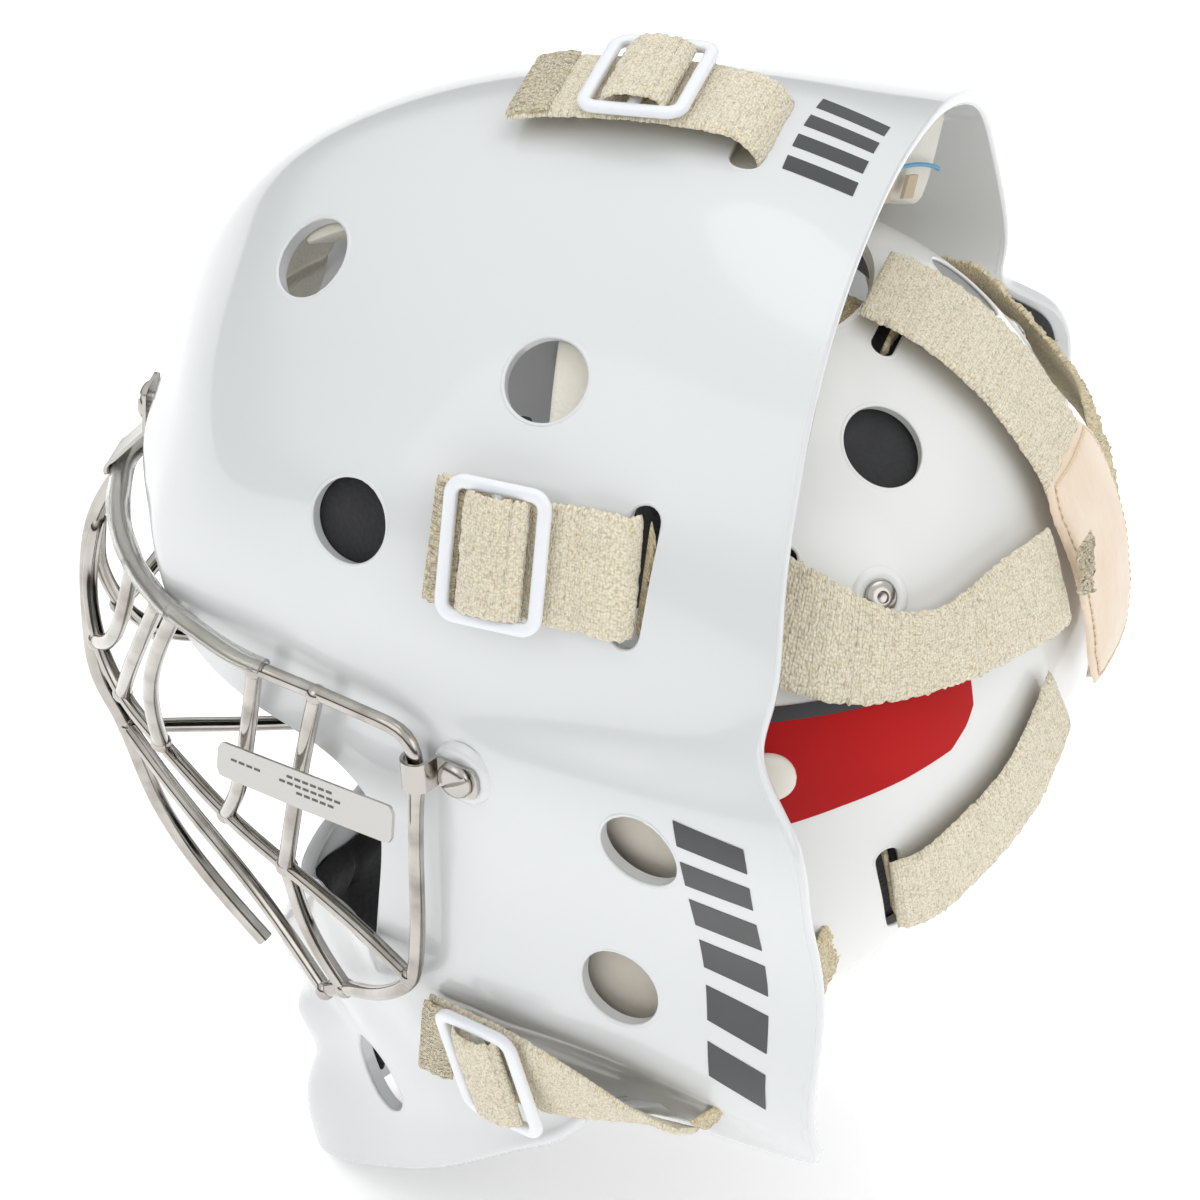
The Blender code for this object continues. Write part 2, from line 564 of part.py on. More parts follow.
edge = curve_points(PERIM, 33)
keep_x = np.clip(np.abs(edge[:, 0]) / 25.0, 0, 1)
climb = rise(edge, 5.4) * keep_x
edge = edge + OUT * climb[:, None]
WIRE_AT = edge[((edge - np.array([101.7, -17.4, 11.0])) ** 2).sum(1).argmin()]
full = np.concatenate([(edge[1:] * np.array([-1, 1, 1]))[::-1], edge])
cage = tube("cage", full, WIRE_R, M_WIRE)
bars = []
for name, st in BARS.items():
    count = 2 * len(st)
    P = curve_points(st, count)
    need = rise(P, 4.2) * np.clip(np.abs(P[:, 0]) / 25.0, 0, 1)
    ends = []
    for p in (P[0], P[-1]):
        d = np.linalg.norm(curve_points(PERIM, 33) - p, axis=1)
        ends.append(climb[d.argmin()] if d.min() < 8 else None)
    if ends[0] is None:
        ends[0] = need[0]
    if ends[1] is None:
        ends[1] = need[-1]
    P = P + OUT * np.maximum(need, np.linspace(ends[0], ends[1], count))[:, None]
    for s in (1, -1):
        if name == "long_upper" and s == -1:
            continue
        W3 = P
        if name == "long_upper":
            W3 = curve_points(np.concatenate([(P[1:] * np.array([-1, 1, 1]))[::-1], P]), 25)
        elif s == -1:
            W3 = P * np.array([-1, 1, 1])
        rad = WIRE_R if name.startswith("long") else BAR_R
        bars.append(tube(f"bar_{name}_{s}", W3, rad, M_WIRE))
bars.append(tube("bar_centre", curve_points([(0,-124,19),(0,-132.4,2.5),(0,-134.8,-11.3),(0,-134.7,-29.2),(0,-131.7,-47.3),(0,-128.1,-54.2),(0,-118.7,-78),(0,-106.2,-98.4),(0,-89.5,-118)], 15), BAR_R + 0.13, M_WIRE))
join(cage, bars)
tidy(cage, 45)

# label plate between the front upright and the perimeter wire, outside them
off = np.array([0.78, -0.56, 0.10])
rows = [[(66.0,-75.5,-13.0),(65.0,-76.5,-23.5)],[(83.0,-47.5,-7.5),(82.0,-48.5,-18.8)],[(99.5,-20.3,-2.0),(98.2,-21.2,-13.8)]]
pl = np.array([[np.array(p) + OUT * 4.5 * min(1.0, p[0] / 60.0) for p in row] for row in rows], float) + off * 3.8
block("cage_label_plate", pl, pl + off * 0.9, M_LABEL)

# clear sleeve: a channel pressed over the perimeter wire, open towards the bars
P = edge[:13]
P = np.concatenate([(P[1:] * np.array([-1, 1, 1]))[::-1], P])
T = np.gradient(P, axis=0)
T /= np.linalg.norm(T, axis=1, keepdims=True)
up = np.array([0, 0, 1.0])
side = np.cross(T, up)
side /= np.linalg.norm(side, axis=1, keepdims=True)
upv = np.cross(side, T)
ang = np.radians(np.linspace(12, 168, 6))
inner = np.stack([P + 2.5 * (math.cos(a) * side + math.sin(a) * upv) for a in ang], 1)
outer = np.stack([P + 3.2 * (math.cos(a) * side + math.sin(a) * upv) for a in ang], 1)
block("cage_sleeve", outer, inner, M_CLEAR)


# ------------------------------------------------------------------ clips and screws
def screw(name, q, nrm, lift):
    """Truss-head machine screw whose shank passes through the clip and the shell."""
    f = frame_at(q, nrm)
    head = bpy.data.objects.new(name, cylinder_mesh(name, 4.9, lift, lift + 1.2, f, 16, r2=4.5))
    head.data.materials.append(M_STEEL)
    COL.objects.link(head)
    top = bpy.data.objects.new(name + "_dome", cylinder_mesh(name + "_dome", 4.5, lift + 1.19, lift + 2.4, f, 16, r2=2.8))
    shank = bpy.data.objects.new(name + "_shank", cylinder_mesh(name + "_shank", 2.3, -(SHELL_T + 3.4), lift + 0.2, f, 12))
    for o in (top, shank):
        COL.objects.link(o)
    join(head, [top, shank])
    slot = cutter(name + "_slot", rounded_slot("drive", 14, 1.2, lift + 1.5, lift + 4, f @ Matrix.Rotation(0.5, 4, "Z")))
    cut(head, [slot])
    tidy(head, 30)
    return head


def nut(name, q, nrm):
    """Tee nut against the inner wall, bored clear of the shank."""
    f = frame_at(q, nrm)
    o = bpy.data.objects.new(name, cylinder_mesh(name, 7.0, -(SHELL_T + 2.9), -(SHELL_T + 1.6), f, 16))
    o.data.materials.append(M_STEEL)
    COL.objects.link(o)
    c = cutter(name + "_bore", cylinder_mesh(name + "_bore", 2.6, -14, 3, f, 12))
    cut(o, [c])
    tidy(o, 30)


CLIP_LIFT = 1.5
for s, side in ((1, "L"), (-1, "R")):
    q, nrm = BOLT["left"]
    q = np.array([q[0] * s, q[1], q[2]])
    nrm = np.array([nrm[0] * s, nrm[1], nrm[2]])
    # strip of sheet: hooks round the perimeter wire, runs back flat to the screw
    fwd = np.array([WIRE_AT[0] * s, WIRE_AT[1], WIRE_AT[2]]) - q
    fwd = fwd - nrm * (fwd @ nrm)
    L = np.linalg.norm(fwd)
    fwd /= L
    wdt = np.cross(nrm, fwd)
    wire = np.array([WIRE_AT[0] * s, WIRE_AT[1], WIRE_AT[2]])
    h = (wire - q) @ nrm
    prof = [(-6.4, CLIP_LIFT), (3.0, CLIP_LIFT), (6.6, CLIP_LIFT)]
    for a in np.radians([165, 135, 105, 75, 45, 15, -15, -45]):
        prof.append((L + 3.45 * math.cos(a), h + 3.45 * math.sin(a)))
    prof = np.array(prof)
    tang = np.gradient(prof, axis=0)
    tang /= np.linalg.norm(tang, axis=1, keepdims=True)
    nr2 = np.stack([-tang[:, 1], tang[:, 0]], 1)
    out = prof + nr2 * 0.9

    def place(pr):
        return np.stack([[q + fwd * a + nrm * c + wdt * w for w in (-4.2, 0, 4.2)] for a, c in pr])
    clip = block(f"cage_clip_{side}", place(out), place(prof), M_STEEL)
    hole = cutter(f"cut_clip_{side}", cylinder_mesh("ch", 2.8, -2, 6, frame_at(q, nrm), 12))
    cut(clip, [hole])
    tidy(clip, 30)
    screw(f"cage_screw_{side}", tuple(q), tuple(nrm), CLIP_LIFT + 1.55)
    nut(f"tee_nut_{side}", tuple(q), tuple(nrm))

for s, side in ((1, "L"), (-1, "R")):
    q, nrm = BOLT["left"]
    f = frame_at((q[0] * s, q[1], q[2]), (nrm[0] * s, nrm[1], nrm[2]))
    o = COL.objects[f"cheek_pad_{side}"]
    cut(o, [cutter(f"cut_pad_{side}", cylinder_mesh("np", 8.2, -9.5, 0, f, 16))])
    tidy(o)

q, nrm = BOLT["top"]
q = np.array([0.0, q[1], q[2]])
nrm = np.array([0.0, nrm[1], nrm[2]])
nrm /= np.linalg.norm(nrm)
down = np.cross(np.array([1.0, 0, 0]), nrm)
if down[2] > 0:
    down = -down
wire = np.array([0, -124.0, 19.6])
L, h = (wire - q) @ down, (wire - q) @ nrm
prof = [(-6.0, CLIP_LIFT), (6.3, CLIP_LIFT)]
for a in np.radians([150, 120, 90]):
    prof.append((L + 3.35 * math.cos(a), h + 3.35 * math.sin(a)))
prof = np.array(prof + [(L + 1.5, h + 3.3)])
tang = np.gradient(prof, axis=0)
tang /= np.linalg.norm(tang, axis=1, keepdims=True)
out = prof + np.stack([-tang[:, 1], tang[:, 0]], 1) * 0.9
xs = np.array([1.0, 0, 0])
clip = block("cage_clip_top", np.stack([[q + down * a + nrm * c + xs * w for w in (-6, 0, 6)] for a, c in out]),
             np.stack([[q + down * a + nrm * c + xs * w for w in (-6, 0, 6)] for a, c in prof]), M_STEEL)
hole = cutter("cut_clip_top", cylinder_mesh("ch", 2.8, -2, 6, frame_at(tuple(q), tuple(nrm)), 12))
cut(clip, [hole])
tidy(clip, 30)
screw("cage_screw_top", tuple(q), tuple(nrm), CLIP_LIFT + 1.35)
nut("tee_nut_top", tuple(q), tuple(nrm))


# ------------------------------------------------------------------ straps on the shell, and sliders
def ribbon(name, centre, across, width, thick, mat, count, lift=0.0, nrm=None):
    """Flat band: stations of its centre line and of its width direction."""
    C = curve_points(centre, count)
    k = np.linspace(0, 1, len(centre))
    A = np.stack([np.interp(np.linspace(0, 1, count), k, np.array(across, float)[:, i]) for i in range(3)], 1)
    Tn = np.gradient(C, axis=0)
    Tn /= np.linalg.norm(Tn, axis=1, keepdims=True)
    A = A - Tn * (A * Tn).sum(1, keepdims=True)
    A /= np.linalg.norm(A, axis=1, keepdims=True)
    N = np.cross(A, Tn)
    if nrm is not None and (N.mean(0) @ np.array(nrm, float)) < 0:
        N = -N
    ws = np.linspace(-0.5, 0.5, 3)
    base = np.stack([C + A * (w * width) + N * lift for w in ws], 1)
    return block(name, base + N[:, None, :] * thick, base, mat)


def slider_and_loop(key, q, nrm, along, length, width, lift):
    """Slider frame with a middle bar, lying over the strap, and the raised loop of strap on that bar."""
    q, nrm, along = np.array(q, float), np.array(nrm, float), np.array(along, float)
    nrm /= np.linalg.norm(nrm)
    along = along - nrm * (along @ nrm)
    along /= np.linalg.norm(along)
    acr = np.cross(nrm, along)
    o = q + nrm * (lift + 1.5)
    hl, hw, rc = length / 2 - 1.5, width / 2 - 1.5, 3.5
    ring = []
    for cx, cy, a0 in ((hl - rc, hw - rc, 0), (-hl + rc, hw - rc, 90), (-hl + rc, -hw + rc, 180), (hl - rc, -hw + rc, 270)):
        for k in range(3):
            a = math.radians(a0 + 45 * k)
            ring.append(o + along * (cx + rc * math.cos(a)) + acr * (cy + rc * math.sin(a)))
    fr = tube(f"slider_{key}", ring, 1.5, M_SLIDER, cyclic=True)
    bar = tube(f"sbar_{key}", [o - acr * (hw + 0.2), o, o + acr * (hw + 0.2)], 1.3, M_SLIDER)
    join(fr, [bar])
    tidy(fr, 50)
    # loop: an arch over the middle bar, between the end bars
    half = hl - 3.4
    x = np.linspace(-half, half, 11)
    top = o[None] + along * x[:, None] + nrm * (3.6 * np.clip(1 - (x / half) ** 4, 0, 1) + 0.9)[:, None]
    bot = top - nrm * (2.0 + 0 * x)[:, None]
    bot[0] = top[0] - nrm * 1.2
    bot[-1] = top[-1] - nrm * 1.2
    ws = np.linspace(-0.5, 0.5, 3) * (2 * hw - 3.4)
    block(f"strap_loop_{key}", np.stack([top + acr * w for w in ws], 1), np.stack([bot + acr * w for w in ws], 1), M_STRAP)
    return along


def ribbon2(name, top, bottom, thick, mat, count, centre=PLATE_C):
    """Band given by its two edges."""
    A, B = curve_points(top, count), curve_points(bottom, count)
    Tn = np.gradient((A + B) / 2, axis=0)
    N = np.cross(A - B, Tn)
    N /= np.linalg.norm(N, axis=1, keepdims=True)
    mid = (A + B) / 2 - np.array(centre)
    N *= np.where((N * mid).sum(1, keepdims=True) < 0, -1, 1)
    base = np.stack([A, (A + B) / 2, B], 1)
    return block(name, base + N[:, None, :] * thick, base, mat)


AXES = {}


def surface_path(points, lift):
    out = []
    for p in points:
        s = 1 if p[0] >= 0 else -1
        q, nn = on_form((abs(p[0]), p[1], p[2]))
        out.append(np.array([q[0] * s, q[1], q[2]]) + np.array([nn[0] * s, nn[1], nn[2]]) * lift)
    return out


# crown strap: tail, slider, then down the crown slot
path = [(0, -19, 142.6), (0, -8, 145.0), (0, 5, 146.6), (0, 18, 147.4), (0, 30, 147.2), (0, 37.2, 146.2), (0, 41.6, 143.2), (0, 43.2, 139.4)]
ribbon("crown_strap", path, [(1, 0, 0)] * len(path), STRAP_W, STRAP_T, M_STRAP, 15, lift=0.6, nrm=(0, 0, 1))
AXES["crown"] = slider_and_loop("crown", (0, 12.5, 147.4), (0, -0.06, 1), (0, 1, 0.03), 28, 37, 3.3)

def surface_ribbon(name, points, lifts, width, mat, count, s, end=None):
    """Band lying on the shell along the points, its width across the surface."""
    Q, N = [], []
    for p, h in zip(points, lifts):
        q, nn = on_form(p)
        Q.append(q + nn * h)
        N.append(nn)
    if end is not None:
        for p, nn in end:
            Q.append(np.array(p, float))
            N.append(np.array(nn, float))
    C = curve_points(Q, count)
    k = np.linspace(0, 1, len(Q))
    kk = np.linspace(0, 1, count)
    N = np.stack([np.interp(kk, k, np.array(N)[:, i]) for i in range(3)], 1)
    T = np.gradient(C, axis=0)
    T /= np.linalg.norm(T, axis=1, keepdims=True)
    A = np.cross(N, T)
    A /= np.linalg.norm(A, axis=1, keepdims=True)
    N = np.cross(T, A)
    f = np.array([s, 1, 1])
    base = np.stack([C + A * (w * width) for w in (-0.5, 0, 0.5)], 1)
    return block(name, (base + N[:, None, :] * STRAP_T) * f, base * f, mat)


for s, side in ((1, "L"), (-1, "R")):
    q, nn = on_form((101.5, 37.5, 74))
    surface_ribbon(f"temple_strap_{side}", [(94.5, -18, 74), (96.5, -8, 74), (98.3, 4, 74), (100.2, 17, 74), (101.2, 27, 74)],
                   [1.6, 1.6, 1.6, 1.7, 2.2], STRAP_W, M_STRAP, 13, s,
                   end=[(q + nn * 1.4 + np.array([0, -2.6, 0]), (0.93, 0.25, 0.28)), (q - nn * 2.6 + np.array([0, -0.4, 0]), (0.35, 0.9, 0.1))])
    q, nn = on_form((98.3, 5, 74))
    q = np.array([q[0] * s, q[1], q[2]])
    nn = np.array([nn[0] * s, nn[1], nn[2]])
    AXES[f"temple_{side}"] = slider_and_loop(f"temple_{side}", q, nn, np.array([0.13 * s, 1, 0.02]), 28, 37, 4.9)
    # chin strap: along the recess below the jaw's edge, then turned under the shell's lower edge
    mid = np.array([(77.5, -22, -82), (81.5, -12.5, -82), (87.0, 0, -81.7), (90.5, 12, -83.0), (92.7, 27, -84.6), (93.6, 39.5, -86.3), (94.5, 50, -87.5)])
    acr = np.array([(0.36, 0.16, 0.915), (0.38, 0.14, 0.915), (0.385, 0.138, 0.915), (0.45, 0.12, 0.88), (0.62, 0.06, 0.78), (0.78, 0.0, 0.62), (0.84, -0.02, 0.54)])
    wid = np.array([31, 31, 31, 31, 28, 24, 20]) / 2
    acr /= np.linalg.norm(acr, axis=1, keepdims=True)
    hi, lo = mid + acr * wid[:, None], mid - acr * wid[:, None]
    lift = np.max([rise(p, 1.5) for p in (hi, mid, lo)], axis=0)[:, None] * OUT
    hi, lo = hi + lift, lo + lift
    ribbon2(f"chin_strap_{side}", [(p[0] * s, p[1], p[2]) for p in hi], [(p[0] * s, p[1], p[2]) for p in lo], STRAP_T, M_STRAP, 13, centre=(0, 0, -60))
    c = (hi[2] + lo[2]) / 2
    al = (hi[3] + lo[3]) / 2 - (hi[1] + lo[1]) / 2
    nn = np.cross(al, acr[2])
    nn /= np.linalg.norm(nn)
    if nn[0] < 0:
        nn = -nn
    AXES[f"chin_{side}"] = slider_and_loop(f"chin_{side}", (c + nn * 1.0) * np.array([s, 1, 1]), nn * np.array([s, 1, 1]), al * np.array([s, 1, 1]), 26, 37, 3.0)


# ------------------------------------------------------------------ harness behind
def on_dome(az, el, g):
    return tuple(dome(az, el, PLATE_R + g))


# one band down the centre line, from the plate's top slot
line = [on_dome(0, e, g) for e, g in ((66, 2.2), (60.5, 3.6), (56, 4.2), (49.5, 4.2), (42.5, 4.0), (37.5, 4.0), (33.5, 4.5))]
ribbon2("harness_top", [(14.5, p[1], p[2]) for p in line], [(-17.0, p[1], p[2]) for p in line], STRAP_T, M_STRAP, 13)
for s, side in ((1, "L"), (-1, "R")):
    # the temple band, from the plate's side slot round to the patch, and the low band
    up = [on_dome(60.4 * s, 37, 1.6)] + [on_dome(a * s, e, 5) for a, e in ((56, 34), (51, 30.5), (46, 27.5), (41, 26), (35, 26), (26, 27.5), (18.5, 27.5), (12 if s == 1 else 15, 27))]
    dn = [on_dome(67.0 * s, 20.5, 1.6)] + [on_dome(a * s, e, 5) for a, e in ((60, 18.5), (54, 16.5), (45.5, 15.5), (37, 15), (27.5, 14.5), (22, 14), (18, 13.5), (12.3 if s == 1 else 15, 13))]
    ribbon2(f"harness_mid_{side}", up, dn, STRAP_T, M_STRAP, 15)
    top = [on_dome(a, e, g) for a, e, g in ((47.8, -9.9, 1.6), (44.2, -8.6, 3.4), (38.1, -5.2, 4), (30.8, -1.6, 4), (24.2, 3, 3.4), (17.5, 8.0, 2.6))]
    bot = [on_dome(a, e, g) for a, e, g in ((42.5, -26.5, 1.6), (37.5, -26, 3.4), (31, -22, 4), (24, -18, 4), (17, -13, 3.4), (10.5, -4.5, 2.6))]
    ribbon2(f"harness_low_{side}", [(p[0] * s, p[1], p[2]) for p in top], [(p[0] * s, p[1], p[2]) for p in bot], STRAP_T, M_STRAP, 11)
# rear patch: covers where the five bands meet
zz = np.array([62, 55, 46.8, 35.6, 25, 15, 5])
yy = np.array([117.7, 121.4, 124.9, 128.4, 130.2, 130.9, 130.6])
hw = np.array([15, 20.0, 20.5, 20.5, 20, 19, 14])
patch = np.array([[(w * h - 2.5, y - 0.004 * (w * h) ** 2, z) for w in np.linspace(-1, 1, 7)] for z, y, h in zip(zz, yy, hw)], float)
block("harness_patch", patch + np.array([0, 1.5, 0.3]), patch, M_PATCH)

# sticker on the backplate's left flank, and the foam edge strip above the far rim
block("backplate_sticker", dome_grid(31, 61, 2, 17.5, 8, 4, PLATE_R + 0.65), dome_grid(31, 61, 2, 17.5, 8, 4, PLATE_R + 0.35), M_RED)

for o in sorted(COL.objects, key=lambda o: -len(o.data.polygons))[:50]:
    print(o.name, sum(len(p.vertices) - 2 for p in o.data.polygons))
print("triangles", sum(sum(len(p.vertices) - 2 for p in o.data.polygons) for o in COL.objects),
      "objects", len(COL.objects))
for k, v in AXES.items():
    print("axis", k, [round(float(x), 4) for x in v])
for k, (q, nrm) in BOLT.items():
    print("bolt", k, [round(float(x), 4) for x in q], [round(float(x), 4) for x in nrm])
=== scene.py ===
"""Looks of the goalie mask.  Lengths are millimetres in the working arrays and
metres in the meshes."""
import bpy
import bmesh
import math
import numpy as np
from mathutils import Vector, Matrix


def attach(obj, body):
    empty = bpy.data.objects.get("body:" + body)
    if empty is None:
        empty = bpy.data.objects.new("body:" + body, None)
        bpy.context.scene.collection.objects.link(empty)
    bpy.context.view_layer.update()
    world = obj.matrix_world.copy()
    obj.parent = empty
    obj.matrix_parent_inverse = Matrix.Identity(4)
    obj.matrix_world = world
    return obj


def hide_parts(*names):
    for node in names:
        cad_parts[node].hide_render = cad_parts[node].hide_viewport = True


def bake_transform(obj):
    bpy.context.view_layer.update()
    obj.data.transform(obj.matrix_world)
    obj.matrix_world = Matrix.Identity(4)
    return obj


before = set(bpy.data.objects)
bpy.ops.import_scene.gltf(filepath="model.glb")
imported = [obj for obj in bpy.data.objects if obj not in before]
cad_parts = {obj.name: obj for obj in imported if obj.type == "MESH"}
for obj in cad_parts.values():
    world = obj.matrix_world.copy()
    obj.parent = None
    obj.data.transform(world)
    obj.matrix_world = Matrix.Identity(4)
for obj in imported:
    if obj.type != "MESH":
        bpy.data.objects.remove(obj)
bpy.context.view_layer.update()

MM = 0.001
SHELL_T = 3.6
VENT_R = 11.0
SLOT_W = 8.6
PLATE_C = (0.0, 26.0, 5.0)
PLATE_R = 104.0
PLATE_T = 3.0
WIRE_R = 1.95
BAR_R = 2.1
STRAP_T = 2.2
STRAP_W = 31.0
COL = bpy.context.scene.collection
rng = np.random.default_rng(7)


# ------------------------------------------------------------------ geometry helpers
def cubic(t, P, T):
    """Smooth (C2, natural ends) spline through P at knots t, read at T."""
    P = np.asarray(P, float)
    T = np.asarray(T, float)
    n = len(t)
    h = np.diff(t)
    A = np.zeros((n, n))
    B = np.zeros(P.shape)
    A[0, 0] = A[-1, -1] = 1
    for i in range(1, n - 1):
        A[i, i - 1], A[i, i], A[i, i + 1] = h[i - 1], 2 * (h[i - 1] + h[i]), h[i]
        B[i] = 6 * ((P[i + 1] - P[i]) / h[i] - (P[i] - P[i - 1]) / h[i - 1])
    M = np.linalg.solve(A, B.reshape(n, -1)).reshape(P.shape)
    k = np.clip(np.searchsorted(t, T, side="right") - 1, 0, n - 2)
    sh = (slice(None),) + (None,) * (P.ndim - 1)
    s, a, hh = (T - t[k])[sh], (t[k + 1] - T)[sh], h[k][sh]
    return ((M[k] * a ** 3 + M[k + 1] * s ** 3) / (6 * hh)
            + (P[k] / hh - M[k] * hh / 6) * a + (P[k + 1] / hh - M[k + 1] * hh / 6) * s)


def curve_points(stations, n):
    """n points along a smooth curve through the stations."""
    P = np.array(stations, float)
    t = np.concatenate([[0], np.cumsum(np.linalg.norm(np.diff(P, axis=0), axis=1))])
    return cubic(t, P, np.linspace(0, t[-1], n))


def frame_at(p, n, up=(0, 0, 1)):
    """Matrix with Z along n at p (mm), X as near to up's side as it can be."""
    z = Vector(n).normalized()
    x = Vector(up).cross(z)
    if x.length < 1e-4:
        x = Vector((1, 0, 0))
    x.normalize()
    y = z.cross(x)
    m = Matrix((x, y, z)).transposed().to_4x4()
    m.translation = Vector(p) * MM
    return m


def rounded_slot(name, length, width, z0, z1, mat_world, seg=8):
    """Stadium-shaped prism, long side along local X."""
    w = width / 2
    a = length / 2 - w
    ring = []
    for k in range(seg + 1):
        t = -math.pi / 2 + math.pi * k / seg
        ring.append((a + w * math.cos(t), w * math.sin(t)))
    for k in range(seg + 1):
        t = math.pi / 2 + math.pi * k / seg
        ring.append((-a + w * math.cos(t), w * math.sin(t)))
    n = len(ring)
    bm = bmesh.new()
    lo = [bm.verts.new((x * MM, y * MM, z0 * MM)) for x, y in ring]
    hi = [bm.verts.new((x * MM, y * MM, z1 * MM)) for x, y in ring]
    bm.faces.new(list(reversed(lo)))
    bm.faces.new(hi)
    for i in range(n):
        bm.faces.new([lo[i], lo[(i + 1) % n], hi[(i + 1) % n], hi[i]])
    bmesh.ops.transform(bm, matrix=mat_world, verts=bm.verts)
    bmesh.ops.recalc_face_normals(bm, faces=bm.faces)
    me = bpy.data.meshes.new(name)
    bm.to_mesh(me)
    bm.free()
    return me


# ------------------------------------------------------------------ shell form
# Rows fan round the face opening, from the crown's centre line to the chin's.
# Each row runs from the opening's edge to the shell's outer edge.
ROWS = [
    [(0,-114,31),(0,-114.5,43),(0,-107,65),(0,-100.7,86.5),(0,-83.5,111.8),(0,-49.6,131.9),(0,-10,141),(0,32,143),(0,74.6,136)],
    [(22,-111,31),(22,-111.5,43),(21,-104,65),(20,-97.7,84.5),(20.5,-80.5,108.8),(22,-47.6,128.9),(24,-9,138),(25,33,141),(23,74.6,134)],
    [(44,-103,29),(45,-103,41),(44,-97,62),(42,-90,80.8),(44,-72.6,101),(47.5,-43.6,117.5),(50,-7,126),(51,34,130.5),(48,74.6,129)],
    [(60,-96,28),(61,-96,39),(61,-89,58),(62,-79,73),(66,-62,86),(70,-38,98),(74,-4,108),(75,35,114),(73.6,74.6,118)],
    [(68,-89,20),(71,-87,32),(74,-80,50),(77,-70,62),(82,-56,71),(88,-34,79),(93,0,85),(95,36,91),(91,74.6,102)],
    [(73,-79,11),(77,-78,25),(81,-70,40),(85,-60,50),(90,-46,56),(96,-27,61),(100,4,65),(104,38,70),(105,74.6,78)],
    [(78,-64,4),(82,-63,20),(86,-54,30),(90,-43,36),(94,-32,40),(99,-17,44),(103,8,47),(108,40,50),(113.5,74.6,53)],
    [(84,-46,-1.5),(88,-44,12),(92,-35,20),(95,-27,24),(98,-19,27),(101,-6,29),(105,14,31),(111,43,34),(120,73.4,38)],
    [(88,-35,-9),(93,-31,2),(96,-24,9),(100,-16,13),(103,-9,16),(107,2,18),(112,20,20.5),(119,46,23),(130,83.5,26)],
    [(86,-31,-24),(90,-24,-18),(94,-17,-14),(97,-10,-12),(101,-2,-10),(105,10,-8),(110,27,-6),(117,50,-3),(129,87.5,2)],
    [(80,-34,-50),(84,-25,-44),(88,-17,-42),(91,-10,-40),(94,0,-39),(98,13,-38),(103,31,-37),(109,53,-36),(121,89,-32)],
    [(74,-38,-64),(79,-27,-67),(83,-17,-67.5),(86,-8,-68),(89,0,-68),(93,14,-68.5),(97,32,-70),(102,54,-73),(110,85,-77)],
    [(70,-41,-66),(74,-31,-73),(77,-21,-75),(79,-12,-76),(82,-3,-77),(85,11,-78),(89,29,-79),(94,52,-81),(101,82,-88)],
    [(62,-47,-68),(66,-38,-80),(70,-28,-85),(74,-18,-88),(78,-8,-90),(81,2,-91),(84,12,-91),(87,22,-90),(89,36,-89)],
    [(50,-55,-71),(54,-49,-84),(58,-41,-92),(62,-32,-97),(66,-23,-101),(71,-12,-103),(76,-2,-104),(81,8,-103),(86,17,-98)],
    [(38,-63,-76),(42,-59,-89),(45,-54,-98),(49,-46,-106),(54,-37,-111),(59,-28,-115),(65,-17,-117),(70,-9,-118),(76,-1,-115)],
    [(27,-69.5,-80),(28,-68.5,-94),(30,-65,-105),(32,-58,-114),(36,-52,-121),(40,-46,-128),(45,-39,-134),(49,-34,-139),(53,-29,-142)],
    [(16,-74.3,-85),(17,-76,-98),(17,-76,-109),(17,-70,-118),(18,-69,-125),(20,-65,-134),(23,-62,-143),(26,-59,-152),(29,-55,-162)],
    [(8,-76.2,-85),(8,-80,-98),(8,-82,-113),(8,-76,-123),(9,-78,-130),(9,-74,-140),(10,-74.5,-150),(11,-75,-160),(13,-71.5,-170.5)],
    [(0,-76.5,-85),(0,-81,-98),(0,-83,-113),(0,-77,-123),(0,-79,-130),(0,-75,-140),(0,-75.5,-150),(0,-76.5,-161),(0,-75,-171.5)],
]
G = np.array(ROWS, float)
# the flange round the opening is set back, so that the cage lies in it
FLANGE = [0, 0, 1.5, 3.5, 5, 6, 6.5, 6.5, 5.5, 4.5, 3.5, 1.5] + [0] * 8
for _i, _d in enumerate(FLANGE):
    for _j, _w in ((0, 1.0), (1, 0.9), (2, 0.25)):
        G[_i, _j] -= np.array([0.815, 0.234, 0.53]) * _d * _w
_m = G * np.array([-1, 1, 1])
EXT = np.concatenate([_m[1:4][::-1], G, _m[-4:-1][::-1]], 0)
TR = np.concatenate([[0], np.cumsum(np.linalg.norm(np.diff(EXT, axis=0), axis=2).mean(1))])
TC = np.concatenate([[0], np.cumsum(np.linalg.norm(np.diff(G, axis=1), axis=2).mean(0))])


def form(rows, cols):
    """Points on the shell's outer surface at row and column numbers."""
    tu = np.interp(np.asarray(rows, float) + 3, np.arange(len(TR)), TR)
    tv = np.interp(np.asarray(cols, float), np.arange(len(TC)), TC)
    S = cubic(TR, EXT, tu)
    return np.swapaxes(cubic(TC, np.swapaxes(S, 0, 1), tv), 0, 1)


def form_normal(rows, cols):
    e = 0.05
    r, c = np.asarray(rows, float), np.asarray(cols, float)
    du = form(r + e, c) - form(r - e, c)
    cl, ch = np.clip(c - e, 0, 8), np.clip(c + e, 0, 8)
    dv = form(r, ch) - form(r, cl)
    n = np.cross(du, dv)
    return n / (np.linalg.norm(n, axis=2, keepdims=True) + 1e-12)


